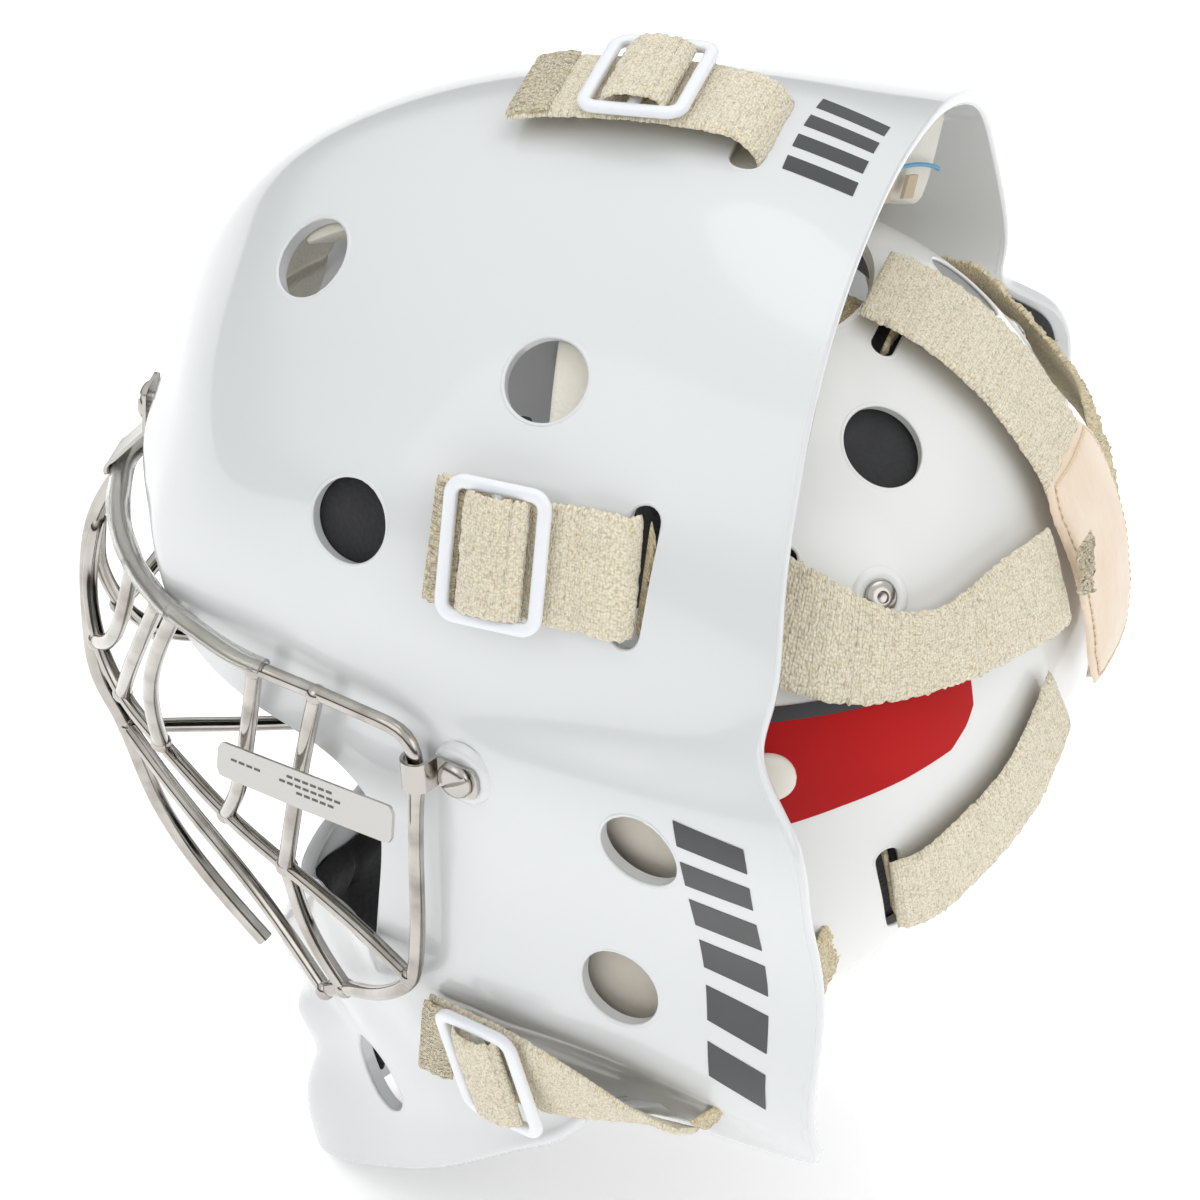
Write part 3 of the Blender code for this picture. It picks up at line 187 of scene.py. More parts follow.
def dome(az, el, r):
    """Point of the backplate's dome: az from the rear centre towards +X, el up (deg)."""
    az, el = np.asarray(az, float), np.asarray(el, float)
    # flatter at the rear centre, and drawn in below
    low = np.clip((-5.0 - el) / 45.0, 0, None)
    r = r - 6.0 * np.exp(-(az / 38.0) ** 2) * np.clip((45.0 - el) / 40.0, 0, 1) \
        - 8.0 * low * low / (low + 0.12) * np.exp(-(az / 40.0) ** 2)
    a, e = np.radians(az), np.radians(el)
    return np.stack([PLATE_C[0] + r * np.sin(a) * np.cos(e),
                     PLATE_C[1] + r * np.cos(a) * np.cos(e),
                     PLATE_C[2] + r * np.sin(e) + 0 * a], -1)



# ------------------------------------------------------------------ cage stations
PERIM = [(0,-124,19.6),(14,-121.4,19.1),(30,-115.7,18.5),(43,-108.6,18.3),(54,-100.4,18.1),(64,-89.9,17.8),
         (71,-80.2,17.7),(77,-71.6,17.6),(80,-65,17.6),(84,-54.8,17.6),(87,-47,17.6),(91,-37.3,17.6),(95,-26.4,17),
         (97,-20.5,14.5),(98,-18.5,9.5),(97.5,-18.5,-2),(93.5,-19.9,-28),(88,-21.8,-54),(85,-24.3,-64),(81,-28.8,-70),
         (71,-38.8,-79.3),(61,-48.7,-86.4),(55,-56,-92)]
BARS = {
    "long_upper": [(0,-131.5,2),(4,-133,-13.7),(8,-130.4,-26.6),(15,-121.3,-39.6),(27,-106.4,-45.5),(43,-85.6,-51.4),(58,-64.9,-54.4),(72,-43,-58.7),(85,-24.5,-63)],
    "long_lower": [(0,-125.2,-59.5),(11,-113.2,-63.9),(24,-98,-69.1),(41,-77.2,-76.7),(55.5,-55.8,-91.8)],
    "upright_rear": [(87,-47,17),(78,-53.7,-8.8),(66,-60.4,-35.2),(58,-64.9,-54.4)],
    "upright_front": [(80,-64.8,17),(68,-71.3,-12.3),(56,-77.8,-35.6),(43.5,-84.9,-51.6)],
    "chin_bar": [(58,-64.5,-54.8),(60,-58.3,-71.4),(61,-48.9,-86.4)],
    "short_front": [(44,-108,18),(22,-122,-19.7),(9,-129.8,-29)],
    "short_mid": [(58,-96.6,17.6),(30,-114,-21.9),(15,-121.3,-39.6)],
    "curved": [(63,-91,17.6),(45,-103.4,-14.9),(26,-107.5,-45)],
}




# ------------------------------------------------------------------ mesh makers
def make(name, verts, faces, mat, uv=None, sharp=50):
    """Mesh object from points in millimetres, turned outward, shaded smooth."""
    me = bpy.data.meshes.new(name)
    me.from_pydata([tuple(float(c) * MM for c in v) for v in verts], [], faces)
    if uv is not None:
        lay = me.uv_layers.new(name="strap")
        idx = np.zeros(len(me.loops), int)
        me.loops.foreach_get("vertex_index", idx)
        lay.data.foreach_set("uv", np.asarray(uv, float)[idx].ravel())
    bm = bmesh.new()
    bm.from_mesh(me)
    bmesh.ops.recalc_face_normals(bm, faces=bm.faces)
    if bm.calc_volume(signed=True) < 0:
        bmesh.ops.reverse_faces(bm, faces=bm.faces)
    bm.to_mesh(me)
    bm.free()
    me.shade_smooth()
    me.set_sharp_from_angle(angle=math.radians(sharp))
    me.materials.append(mat)
    ob = bpy.data.objects.new(name, me)
    COL.objects.link(ob)
    return ob


def slab(name, a, c, mat, uv=None, sharp=50):
    """Closed solid between two equal grids of points."""
    a, c = np.asarray(a, float), np.asarray(c, float)
    n, m = a.shape[:2]
    verts = np.concatenate([a.reshape(-1, 3), c.reshape(-1, 3)])
    k = n * m
    f = []
    for i in range(n - 1):
        for j in range(m - 1):
            q = [i * m + j, (i + 1) * m + j, (i + 1) * m + j + 1, i * m + j + 1]
            f.append(q)
            f.append([x + k for x in reversed(q)])
    rim = [i * m for i in range(n)] + [(n - 1) * m + j for j in range(1, m)]
    rim += [i * m + m - 1 for i in range(n - 2, -1, -1)] + [j for j in range(m - 2, 0, -1)]
    for i, p in enumerate(rim):
        q = rim[(i + 1) % len(rim)]
        f.append([p, q, q + k, p + k])
    if uv is not None:
        uv = np.concatenate([uv.reshape(-1, 2), uv.reshape(-1, 2)])
    return make(name, verts, f, mat, uv, sharp)


def sweep(name, pts, nrm, section, mat, cyclic=False, cap=True, sharp=50):
    """Section (x across, y along the normal) carried along a path."""
    Pt = np.asarray(pts, float)
    N = np.asarray(nrm, float)
    if N.ndim == 1:
        N = np.tile(N, (len(Pt), 1))
    if cyclic:
        T = np.roll(Pt, -1, 0) - np.roll(Pt, 1, 0)
    else:
        T = np.gradient(Pt, axis=0)
    T /= np.linalg.norm(T, axis=1, keepdims=True) + 1e-12
    N = N - T * (N * T).sum(1, keepdims=True)
    N /= np.linalg.norm(N, axis=1, keepdims=True) + 1e-12
    B = np.cross(T, N)
    S = np.asarray(section, float)
    if S.ndim == 2:
        S = np.tile(S[None], (len(Pt), 1, 1))
    V = Pt[:, None] + B[:, None] * S[:, :, :1] + N[:, None] * S[:, :, 1:]
    n, m = V.shape[:2]
    f = []
    for i in range(n if cyclic else n - 1):
        for j in range(m):
            a, b = i * m + j, i * m + (j + 1) % m
            c, d = ((i + 1) % n) * m + (j + 1) % m, ((i + 1) % n) * m + j
            f.append([a, b, c, d])
    verts = V.reshape(-1, 3)
    if not cyclic and cap:
        f.append(list(range(m))[::-1])
        f.append([(n - 1) * m + j for j in range(m)])
    return make(name, verts, f, mat, sharp=sharp)


def oval(rx, ry, seg=20, p=2.0):
    a = np.linspace(0, 2 * math.pi, seg, endpoint=False)
    return np.stack([rx * np.sign(np.cos(a)) * np.abs(np.cos(a)) ** (2 / p),
                     ry * np.sign(np.sin(a)) * np.abs(np.sin(a)) ** (2 / p)], 1)


def wire(name, pts, radius, mat, seg=20, cyclic=False):
    """Round wire with its frame carried along without twist."""
    Pt = np.asarray(pts, float)
    T = np.gradient(Pt, axis=0)
    T /= np.linalg.norm(T, axis=1, keepdims=True) + 1e-12
    n0 = np.cross(T[0], [0.31, 0.53, 0.79])
    N = [n0 / np.linalg.norm(n0)]
    for t in T[1:]:
        v = N[-1] - t * (N[-1] @ t)
        N.append(v / np.linalg.norm(v))
    return sweep(name, Pt, np.array(N), oval(radius, radius, seg), mat, cyclic=cyclic, sharp=60)


def turned(name, profile, f, mat, seg=64, sharp=35):
    """Profile of (radius, height) turned round the frame's Z axis (f in metres)."""
    pr = np.array(profile, float)
    a = np.linspace(0, 2 * math.pi, seg, endpoint=False)
    R = np.array(f.to_3x3())
    o = np.array(f.translation) / MM
    V, faces = [], []
    for r_, h in pr:
        V += [o + R @ np.array([r_ * math.cos(t), r_ * math.sin(t), h]) for t in a]
    n = len(pr)
    for i in range(n - 1):
        for j in range(seg):
            faces.append([i * seg + j, i * seg + (j + 1) % seg, (i + 1) * seg + (j + 1) % seg, (i + 1) * seg + j])
    faces.append(list(range(seg))[::-1])
    faces.append([(n - 1) * seg + j for j in range(seg)])
    return make(name, V, faces, mat, sharp=sharp)


def evaluated(ob):
    bpy.context.view_layer.update()
    me = bpy.data.meshes.new_from_object(ob.evaluated_get(bpy.context.evaluated_depsgraph_get()))
    ob.modifiers.clear()
    ob.data = me
    return ob


def solids(name, meshes_mm):
    """Cutter made of several closed meshes: each a (verts in metres, faces) pair."""
    V, F = [], []
    for v, f in meshes_mm:
        k = len(V)
        V += [tuple(x) for x in v]
        F += [[i + k for i in q] for q in f]
    me = bpy.data.meshes.new(name)
    me.from_pydata(V, [], F)
    bm = bmesh.new()
    bm.from_mesh(me)
    bmesh.ops.recalc_face_normals(bm, faces=bm.faces)
    bm.to_mesh(me)
    bm.free()
    ob = bpy.data.objects.new(name, me)
    COL.objects.link(ob)
    return ob


def plug(r, z0, z1, f, seg=72):
    a = np.linspace(0, 2 * math.pi, seg, endpoint=False)
    v = [f @ Vector((r * math.cos(t) * MM, r * math.sin(t) * MM, z0 * MM)) for t in a]
    v += [f @ Vector((r * math.cos(t) * MM, r * math.sin(t) * MM, z1 * MM)) for t in a]
    q = [list(range(seg))[::-1], [seg + i for i in range(seg)]]
    q += [[i, (i + 1) % seg, seg + (i + 1) % seg, seg + i] for i in range(seg)]
    return v, q


def stadium(length, width, seg=16):
    w = width / 2
    a = length / 2 - w
    out = []
    for s, t0 in ((1, -math.pi / 2), (-1, math.pi / 2)):
        for k in range(seg + 1):
            t = t0 + math.pi * k / seg
            out.append((s * a + w * math.cos(t), w * math.sin(t)))
    return out


def slot_plug(length, width, z0, z1, f):
    ring = stadium(length, width)
    n = len(ring)
    v = [f @ Vector((x * MM, y * MM, z0 * MM)) for x, y in ring] + [f @ Vector((x * MM, y * MM, z1 * MM)) for x, y in ring]
    q = [list(range(n))[::-1], [n + i for i in range(n)]] + [[i, (i + 1) % n, n + (i + 1) % n, n + i] for i in range(n)]
    return v, q


def carve(ob, other):
    md = ob.modifiers.new("cut", "BOOLEAN")
    md.operation = "DIFFERENCE"
    md.solver = "EXACT"
    md.object = other
    evaluated(ob)
    bpy.data.objects.remove(other, do_unlink=True)
    ob.data.shade_smooth()
    ob.data.set_sharp_from_angle(angle=math.radians(40))


def merge(name, obs):
    """One object out of several; their materials are kept."""
    base = obs[0]
    mats = []
    V, F, MI, UV = [], [], [], []
    has_uv = any(o.data.uv_layers for o in obs)
    for o in obs:
        k = len(V)
        V += [v.co[:] for v in o.data.vertices]
        loc = [m for m in o.data.materials]
        for m in loc:
            if m not in mats:
                mats.append(m)
        for p in o.data.polygons:
            F.append([i + k for i in p.vertices])
            MI.append(mats.index(loc[p.material_index]) if loc else 0)
        if has_uv:
            if o.data.uv_layers:
                UV += [tuple(d.uv) for d in o.data.uv_layers[0].data]
            else:
                UV += [(0.0, 0.0)] * len(o.data.loops)
    me = bpy.data.meshes.new(name)
    me.from_pydata(V, [], F)
    for m in mats:
        me.materials.append(m)
    me.polygons.foreach_set("material_index", MI)
    if has_uv:
        lay = me.uv_layers.new(name="strap")
        lay.data.foreach_set("uv", np.array(UV).ravel())
    me.shade_smooth()
    me.set_sharp_from_angle(angle=math.radians(50))
    for o in obs:
        bpy.data.objects.remove(o, do_unlink=True)
    ob = bpy.data.objects.new(name, me)
    COL.objects.link(ob)
    return ob


# nearest point of the shell, from a fine table
_gr, _gc = np.linspace(0, 19, 381), np.linspace(0, 8, 161)
_GS, _GN = form(_gr, _gc), form_normal(_gr, _gc)
_FS, _FN = _GS.reshape(-1, 3), _GN.reshape(-1, 3)


def on_form(p):
    i = ((_FS - np.asarray(p, float)) ** 2).sum(1).argmin()
    return _FS[i], _FN[i]


def on_side(p):
    """on_form for either side of the mask."""
    s = 1.0 if p[0] >= 0 else -1.0
    q, n = on_form((abs(p[0]), p[1], p[2]))
    return q * np.array([s, 1, 1]), n * np.array([s, 1, 1])


def on_dome(az, el, g):
    return tuple(dome(az, el, PLATE_R + g))


# ------------------------------------------------------------------ materials
def lin(r, g, b):
    f = lambda c: c / 12.92 if c <= 0.04045 else ((c + 0.055) / 1.055) ** 2.4
    return (f(r / 255), f(g / 255), f(b / 255), 1.0)


class Mat:
    """A Principled material with a small noise network."""

    def __init__(self, name, color, rough=0.5, metal=0.0, **more):
        self.m = bpy.data.materials.new(name)
        self.m.use_nodes = True
        self.nt = self.m.node_tree
        self.p = self.nt.nodes["Principled BSDF"]
        self.p.inputs["Base Color"].default_value = color
        self.p.inputs["Roughness"].default_value = rough
        self.p.inputs["Metallic"].default_value = metal
        self.m.diffuse_color = color
        for k, v in more.items():
            self.p.inputs[k.replace("_", " ")].default_value = v
        self.height = None

    def node(self, kind, **values):
        n = self.nt.nodes.new(kind)
        for k, v in values.items():
            if hasattr(n, k):
                setattr(n, k, v)
            else:
                n.inputs[k.replace("_", " ")].default_value = v
        return n

    def link(self, a, b):
        self.nt.links.new(a, b)

    def space(self, scale, uv=False):
        c = self.node("ShaderNodeUVMap", uv_map="strap") if uv else self.node("ShaderNodeTexCoord")
        mp = self.node("ShaderNodeMapping")
        mp.inputs["Scale"].default_value = scale
        self.link(c.outputs["UV"] if uv else c.outputs["Object"], mp.inputs["Vector"])
        return mp.outputs["Vector"]

    def noise(self, scale, detail=3.0, uv=False, stretch=(1, 1, 1)):
        n = self.node("ShaderNodeTexNoise", Scale=scale, Detail=detail)
        self.link(self.space(stretch, uv), n.inputs["Vector"])
        return n.outputs["Fac"]

    def ramp(self, fac, stops):
        n = self.node("ShaderNodeValToRGB")
        e = n.color_ramp.elements
        while len(e) < len(stops):
            e.new(0.5)
        for x, (pos, col) in zip(e, stops):
            x.position = pos
            x.color = col if len(col) == 4 else (*col, 1)
        self.link(fac, n.inputs["Fac"])
        return n.outputs["Color"]

    def color(self, fac, stops):
        self.link(self.ramp(fac, stops), self.p.inputs["Base Color"])

    def rough(self, fac, lo, hi):
        n = self.node("ShaderNodeMapRange")
        n.inputs["To Min"].default_value = lo
        n.inputs["To Max"].default_value = hi
        self.link(fac, n.inputs["Value"])
        self.link(n.outputs["Result"], self.p.inputs["Roughness"])

    def bump(self, height, distance, strength=1.0):
        n = self.node("ShaderNodeBump", Strength=strength, Distance=distance)
        self.link(height, n.inputs["Height"])
        if self.height is not None:
            self.link(self.height, n.inputs["Normal"])
        self.height = n.outputs["Normal"]
        self.link(self.height, self.p.inputs["Normal"])


def tint(c, k):
    return (min(1, c[0] * k), min(1, c[1] * k), min(1, c[2] * k), 1)


WHITE = lin(222, 224, 225)
m_shell = Mat("shell_gloss", WHITE, 0.32, Coat_Weight=0.8, Coat_Roughness=0.07)
m_shell.color(m_shell.noise(9.0, 2), [(0.3, tint(WHITE, 0.97)), (0.75, WHITE)])
m_shell.rough(m_shell.noise(60.0, 3), 0.27, 0.37)
m_shell.bump(m_shell.noise(220.0, 2), 0.00004, 0.25)
m_plate = Mat("plate_gloss", lin(231, 231, 229), 0.34, Coat_Weight=0.6, Coat_Roughness=0.1)
m_plate.color(m_plate.noise(14.0, 2), [(0.3, lin(227, 227, 225)), (0.75, lin(234, 234, 232))])
m_plate.rough(m_plate.noise(70.0, 3), 0.3, 0.4)
m_plate.bump(m_plate.noise(300.0, 2), 0.00004, 0.25)
m_wire = Mat("wire_plated", lin(196, 192, 184), 0.16, 1.0)
m_wire.color(m_wire.noise(90.0, 4), [(0.25, lin(150, 144, 136)), (0.5, lin(184, 179, 172)), (0.8, lin(204, 200, 194))])
m_wire.rough(m_wire.noise(130.0, 4), 0.06, 0.2)
m_wire.bump(m_wire.noise(500.0, 3), 0.00003, 0.3)
m_steel = Mat("plated_steel", lin(186, 182, 176), 0.18, 1.0)
m_steel.rough(m_steel.noise(200.0, 4), 0.12, 0.3)
m_steel.bump(m_steel.noise(900.0, 2), 0.00002, 0.3)
m_label = Mat("label_metal", lin(196, 194, 190), 0.34, 0.7)
m_label.rough(m_label.noise(60.0, 5, stretch=(1, 1, 30)), 0.26, 0.42)
m_label.bump(m_label.noise(160.0, 4, stretch=(1, 1, 30)), 0.00002, 0.3)
m_clear = Mat("clear_sleeve", lin(244, 244, 240), 0.12, 0.0, Transmission_Weight=0.9, IOR=1.46, Coat_Weight=0.4, Coat_Roughness=0.05)
m_clear.rough(m_clear.noise(150.0, 3), 0.08, 0.2)
m_clear.bump(m_clear.noise(120.0, 3), 0.00008, 0.4)
m_slider = Mat("slider_nylon", lin(238, 241, 246), 0.3, 0.0, Coat_Weight=0.25, Coat_Roughness=0.15, Subsurface_Weight=0.15, Subsurface_Scale=0.002)
m_slider.rough(m_slider.noise(300.0, 3), 0.25, 0.4)
m_slider.bump(m_slider.noise(700.0, 2), 0.00002, 0.3)


def elastic(name, light, mid, dark, ribs=False):
    """Knitted elastic webbing: rows of small loops, with fuzz, and painted shade in the hollows between the loops."""
    m = Mat(name, mid, 0.92, 0.0, Sheen_Weight=0.35, Sheen_Roughness=0.5)
    v = m.node("ShaderNodeTexVoronoi", feature="SMOOTH_F1", Scale=1.15, Smoothness=0.25, Randomness=0.6)
    m.link(m.space((1.05, 1.3, 1), True), v.inputs["Vector"])
    w = m.node("ShaderNodeTexWave", wave_type="BANDS", bands_direction="X" if ribs else "Y", Scale=0.32 if not ribs else 0.22, Distortion=1.6, Detail=2.0, Detail_Scale=2.0)
    m.link(m.space((1, 1, 1), True), w.inputs["Vector"])
    fuzz = m.noise(1.6, 6.0, uv=True)
    mix = m.node("ShaderNodeMix", data_type="FLOAT")
    mix.inputs[0].default_value = 0.45
    m.link(v.outputs["Distance"], mix.inputs[2])
    m.link(fuzz, mix.inputs[3])
    # colour: random fuzz tone, plus painted shade that darkens each loop towards its edge, where the bump sinks
    m.color(mix.outputs[0], [(0.3, light), (0.5, mid), (0.74, dark)])
    inv = m.node("ShaderNodeMath", operation="MULTIPLY_ADD")
    inv.inputs[1].default_value = -1.0
    inv.inputs[2].default_value = 1.0
    m.link(v.outputs["Distance"], inv.inputs[0])
    m.bump(w.outputs["Fac"], 0.00025 if not ribs else 0.0005, 0.4 if not ribs else 0.9)
    m.bump(inv.outputs[0], 0.0006, 0.85)
    m.bump(fuzz, 0.0004, 0.5)
    return m


m_strap = elastic("elastic_ecru", lin(247, 240, 219), lin(234, 224, 199), lin(190, 173, 137))
m_tail = elastic("elastic_tail", lin(230, 220, 196), lin(214, 202, 172), lin(176, 160, 124), ribs=True)
m_loopy = elastic("elastic_inner", lin(240, 228, 198), lin(220, 204, 166), lin(168, 148, 104))
m_pad = Mat("pad_cream", lin(226, 221, 208), 0.85, 0.0, Sheen_Weight=0.3, Sheen_Roughness=0.5)
m_pad.color(m_pad.noise(25.0, 4), [(0.3, lin(214, 208, 193)), (0.7, lin(232, 228, 217))])
_v = m_pad.node("ShaderNodeTexVoronoi", Scale=900.0)
m_pad.link(m_pad.space((1, 1, 1)), _v.inputs["Vector"])
m_pad.bump(_v.outputs["Distance"], 0.0003, 0.5)
m_tanpad = Mat("pad_tan", lin(196, 188, 176), 0.85, 0.0, Sheen_Weight=0.3, Sheen_Roughness=0.5)
m_tanpad.color(m_tanpad.noise(30.0, 4), [(0.3, lin(184, 175, 161)), (0.7, lin(205, 198, 186))])
m_tanpad.bump(m_tanpad.noise(800.0, 4), 0.0003, 0.5)
m_foam = Mat("foam_black", lin(38, 38, 40), 0.8, 0.0, Sheen_Weight=0.2, Sheen_Roughness=0.4)
m_foam.color(m_foam.noise(30.0, 4), [(0.3, lin(28, 28, 30)), (0.75, lin(52, 52, 54))])
_v = m_foam.node("ShaderNodeTexVoronoi", Scale=700.0)
m_foam.link(m_foam.space((1, 1, 1)), _v.inputs["Vector"])
m_foam.bump(_v.outputs["Distance"], 0.0004, 0.6)
m_patch = Mat("patch_suede", lin(243, 227, 206), 0.9, 0.0, Sheen_Weight=0.5, Sheen_Roughness=0.5)
m_patch.color(m_patch.noise(45.0, 5), [(0.3, lin(228, 206, 180)), (0.55, lin(237, 217, 194)), (0.8, lin(243, 227, 207))])
m_patch.bump(m_patch.noise(900.0, 5), 0.0003, 0.5)
m_thread = Mat("thread", lin(226, 206, 176), 0.7)
m_thread.bump(m_thread.noise(2500.0, 2), 0.0001, 0.6)
m_red = Mat("sticker_red", lin(180, 10, 12), 0.5, 0.0, Coat_Weight=0.0, Specular_IOR_Level=0.15)
m_red.color(m_red.noise(30.0, 3), [(0.3, lin(172, 6, 8)), (0.75, lin(186, 12, 14))])
m_red.rough(m_red.noise(90.0, 3), 0.32, 0.46)
m_dark = Mat("print_black", lin(34, 32, 36), 0.4, 0.0, Coat_Weight=0.3, Coat_Roughness=0.15)
m_dark.rough(m_dark.noise(120.0, 3), 0.34, 0.48)
m_lug = Mat("lug_cream", lin(236, 231, 219), 0.42, 0.0, Coat_Weight=0.3, Coat_Roughness=0.2)
m_lug.color(m_lug.noise(18.0, 3), [(0.3, lin(231, 225, 212)), (0.75, lin(239, 235, 225))])
m_lug.rough(m_lug.noise(90.0, 3), 0.38, 0.48)
m_lug.bump(m_lug.noise(260.0, 2), 0.00004, 0.3)
m_ink = Mat("print_grey", lin(38, 39, 42), 0.36, 0.0, Coat_Weight=0.5, Coat_Roughness=0.1)
m_ink.color(m_ink.noise(20.0, 3), [(0.3, lin(34, 35, 38)), (0.75, lin(44, 45, 48))])
m_ink.rough(m_ink.noise(120.0, 3), 0.3, 0.44)
m_tan = Mat("band_tan", lin(196, 178, 152), 0.8)
m_tan.bump(m_tan.noise(900.0, 3), 0.0002, 0.5)
m_blue = Mat("piping_blue", lin(70, 150, 190), 0.5)
m_blue.bump(m_blue.noise(900.0, 3), 0.0001, 0.5)
m_cream = Mat("edge_cream", lin(226, 222, 206), 0.5, 0.0, Coat_Weight=0.2, Coat_Roughness=0.2)
m_cream.color(m_cream.noise(12.0, 3), [(0.3, lin(216, 211, 192)), (0.75, lin(232, 229, 216))])
PIECES = []


def place(ob, body, slot, *nodes):
    """Rides on its body and stands for its CAD nodes; slot is not used."""
    if nodes:
        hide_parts(*nodes)
    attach(ob, body)
    PIECES.append(ob)
    return ob


# ------------------------------------------------------------------ shell
def fine_rows(step):
    return np.concatenate([np.arange(0, 19, step), [19.0]])


rr, cc = fine_rows(0.2), np.linspace(0, 8, 61)
S = form(rr, cc)
S[0, :, 0] = 0.0
S[-1, :, 0] = 0.0
n_, m_ = S.shape[:2]
me = bpy.data.meshes.new("shell_surface")
me.from_pydata([tuple(float(x) * MM for x in p) for p in S.reshape(-1, 3)], [],
               [[i * m_ + j, (i + 1) * m_ + j, (i + 1) * m_ + j + 1, i * m_ + j + 1] for i in range(n_ - 1) for j in range(m_ - 1)])
shell = bpy.data.objects.new("shell_surface", me)
COL.objects.link(shell)
md = shell.modifiers.new("halves", "MIRROR")
md.use_axis = (True, False, False)
md.merge_threshold = 0.0001
md = shell.modifiers.new("wall", "SOLIDIFY")
md.thickness = SHELL_T * MM
md.offset = -1
evaluated(shell)
shell.data.materials.clear()
shell.data.materials.append(m_shell.m)

VENTS = {"forehead": (39, -60, 111), "temple_top": (75.8, 8.7, 109.3), "side": (90.4, -38, 70.5),
         "jaw_upper": (116.5, 43, 7), "jaw_lower": (104, 34, -43), "chin": (39.5, -47, -126)}
plugs, rims = [], []
for key, p in VENTS.items():
    q, nn = on_form(p)
    for s in (1, -1):
        f = frame_at((q[0] * s, q[1], q[2]), (nn[0] * s, nn[1], nn[2]))
        plugs.append(plug(VENT_R, -14, 12, f))
        R3 = np.array(f.to_3x3())
        o = np.array(f.translation) / MM
        ring, rn = [], []
        for t in np.linspace(0, 2 * math.pi, 64, endpoint=False):
            rad = R3 @ np.array([math.cos(t), math.sin(t), 0])
            w = o + rad * (VENT_R + 0.25)
            qq, n2 = on_side(w)
            h = (qq - w) @ (R3 @ np.array([0, 0, 1.0]))
            ring.append(w + (R3 @ np.array([0, 0, 1.0])) * h - n2 * 0.42)
            rn.append(n2)
        rims.append(sweep(f"rim_{key}_{s}", ring, rn, oval(0.62, 0.55, 12), m_shell.m, cyclic=True, sharp=80))
q, nn = on_form((101.5, 37.5, 74))
slot_rims = []


def rim_slot(f, length, width, key):
    R3, o = np.array(f.to_3x3()), np.array(f.translation) / MM
    ring, rn = [], []
    for x, y in stadium(length + 0.5, width + 0.5, 10):
        w = o + R3 @ np.array([x, y, 0])
        qq, n2 = on_side(w)
        z = R3 @ np.array([0, 0, 1.0])
        ring.append(w + z * ((qq - w) @ z) - n2 * 0.42)
        rn.append(n2)
    rims.append(sweep(f"rim_{key}", ring, rn, oval(0.62, 0.55, 12), m_shell.m, cyclic=True, sharp=80))


for s in (1, -1):
    z = Vector((nn[0] * s, nn[1], nn[2])).normalized()
    x = Vector((5 * s, -2.5, -29)).normalized()
    x = (x - z * x.dot(z)).normalized()
    mw = Matrix((x, z.cross(x), z)).transposed().to_4x4()
    mw.translation = Vector((q[0] * s, q[1], q[2])) * MM
    plugs.append(slot_plug(37, SLOT_W, -12, 12, mw))
    rim_slot(mw, 37, SLOT_W, f"temple_slot_{s}")
q, nn = on_form((0, 42, 142))
mw = frame_at((0, q[1], q[2]), (0, nn[1], nn[2]), up=(0, 1, 0))
plugs.append(slot_plug(38, SLOT_W, -12, 12, mw))
rim_slot(mw, 38, SLOT_W, "crown_slot")
BOLT = {"left": on_form((104.5, -4.9, 11.4)), "top": on_form((0, -114.3, 39))}
for key, (q, nn) in BOLT.items():
    for s in ((1, -1) if key == "left" else (1,)):
        a = (nn[0] * s, nn[1], nn[2]) if key == "left" else (0, nn[1], nn[2])
        b = (q[0] * s, q[1], q[2]) if key == "left" else (0, q[1], q[2])
        plugs.append(plug(2.8, -14, 12, frame_at(b, a), 24))
carve(shell, solids("shell_cutters", plugs))


def edge_bead(name, r0, r1, col, radius, mat, inset, both=True, rows=None):
    """Centre line and normals for a rounded edge along the shell's rim."""
    r = np.linspace(r0, r1, int((r1 - r0) * 8) + 1) if rows is None else rows
    E, N = form(r, [col])[:, 0], form_normal(r, [col])[:, 0]
    inner = form(r, [col - 0.2 if col > 4 else col + 0.2])[:, 0]
    d = E - inner
    d /= np.linalg.norm(d, axis=1, keepdims=True)
    d -= N * (d * N).sum(1, keepdims=True)
    d /= np.linalg.norm(d, axis=1, keepdims=True)
    C = E - N * (SHELL_T / 2) - d * inset
    left = C.copy()
    pts = np.concatenate([(left[1:] * np.array([-1, 1, 1]))[::-1], left]) if r0 == 0 else left
    nr = np.concatenate([(N[1:] * np.array([-1, 1, 1]))[::-1], N]) if r0 == 0 else N
    return pts, nr


P_, N_ = edge_bead("rear", 0, 19, 8, 1.8, m_shell.m, 1.0)
P_ = np.concatenate([P_[:-1]])
loop = sweep("shell_rear_edge", P_[1:] if False else P_, N_[:len(P_)], oval(1.82, SHELL_T / 2 + 0.03, 16, 2.6), m_shell.m, cyclic=True, sharp=80)
P_, N_ = edge_bead("face", 0, 19, 0, 1.8, m_shell.m, 1.0)
loop2 = sweep("shell_face_edge", P_[:-1], N_[:-1], oval(1.82, SHELL_T / 2 + 0.03, 16, 2.6), m_shell.m, cyclic=True, sharp=80)
rims += [loop, loop2]


# raised boss round each side screw
def boss(f, name):
    return turned(name, [(2.9, -0.6), (2.9, 1.15), (6.2, 1.2), (7.0, 1.1), (7.7, 0.7), (8.5, 0.1), (9.0, -0.8)], f, m_shell.m, sharp=70)


for s in (1, -1):
    q, nn = BOLT["left"]
    rims.append(boss(frame_at((q[0] * s, q[1], q[2]), (nn[0] * s, nn[1], nn[2])), f"boss_{s}"))
shell_all = merge("shell_fine", [shell] + rims)
place(shell_all, "mask", "shell", "mask_shell")


# ------------------------------------------------------------------ cage
OUT = np.array([0.815, 0.234, 0.53])
FLIP = np.array([-1.0, 1.0, 1.0])


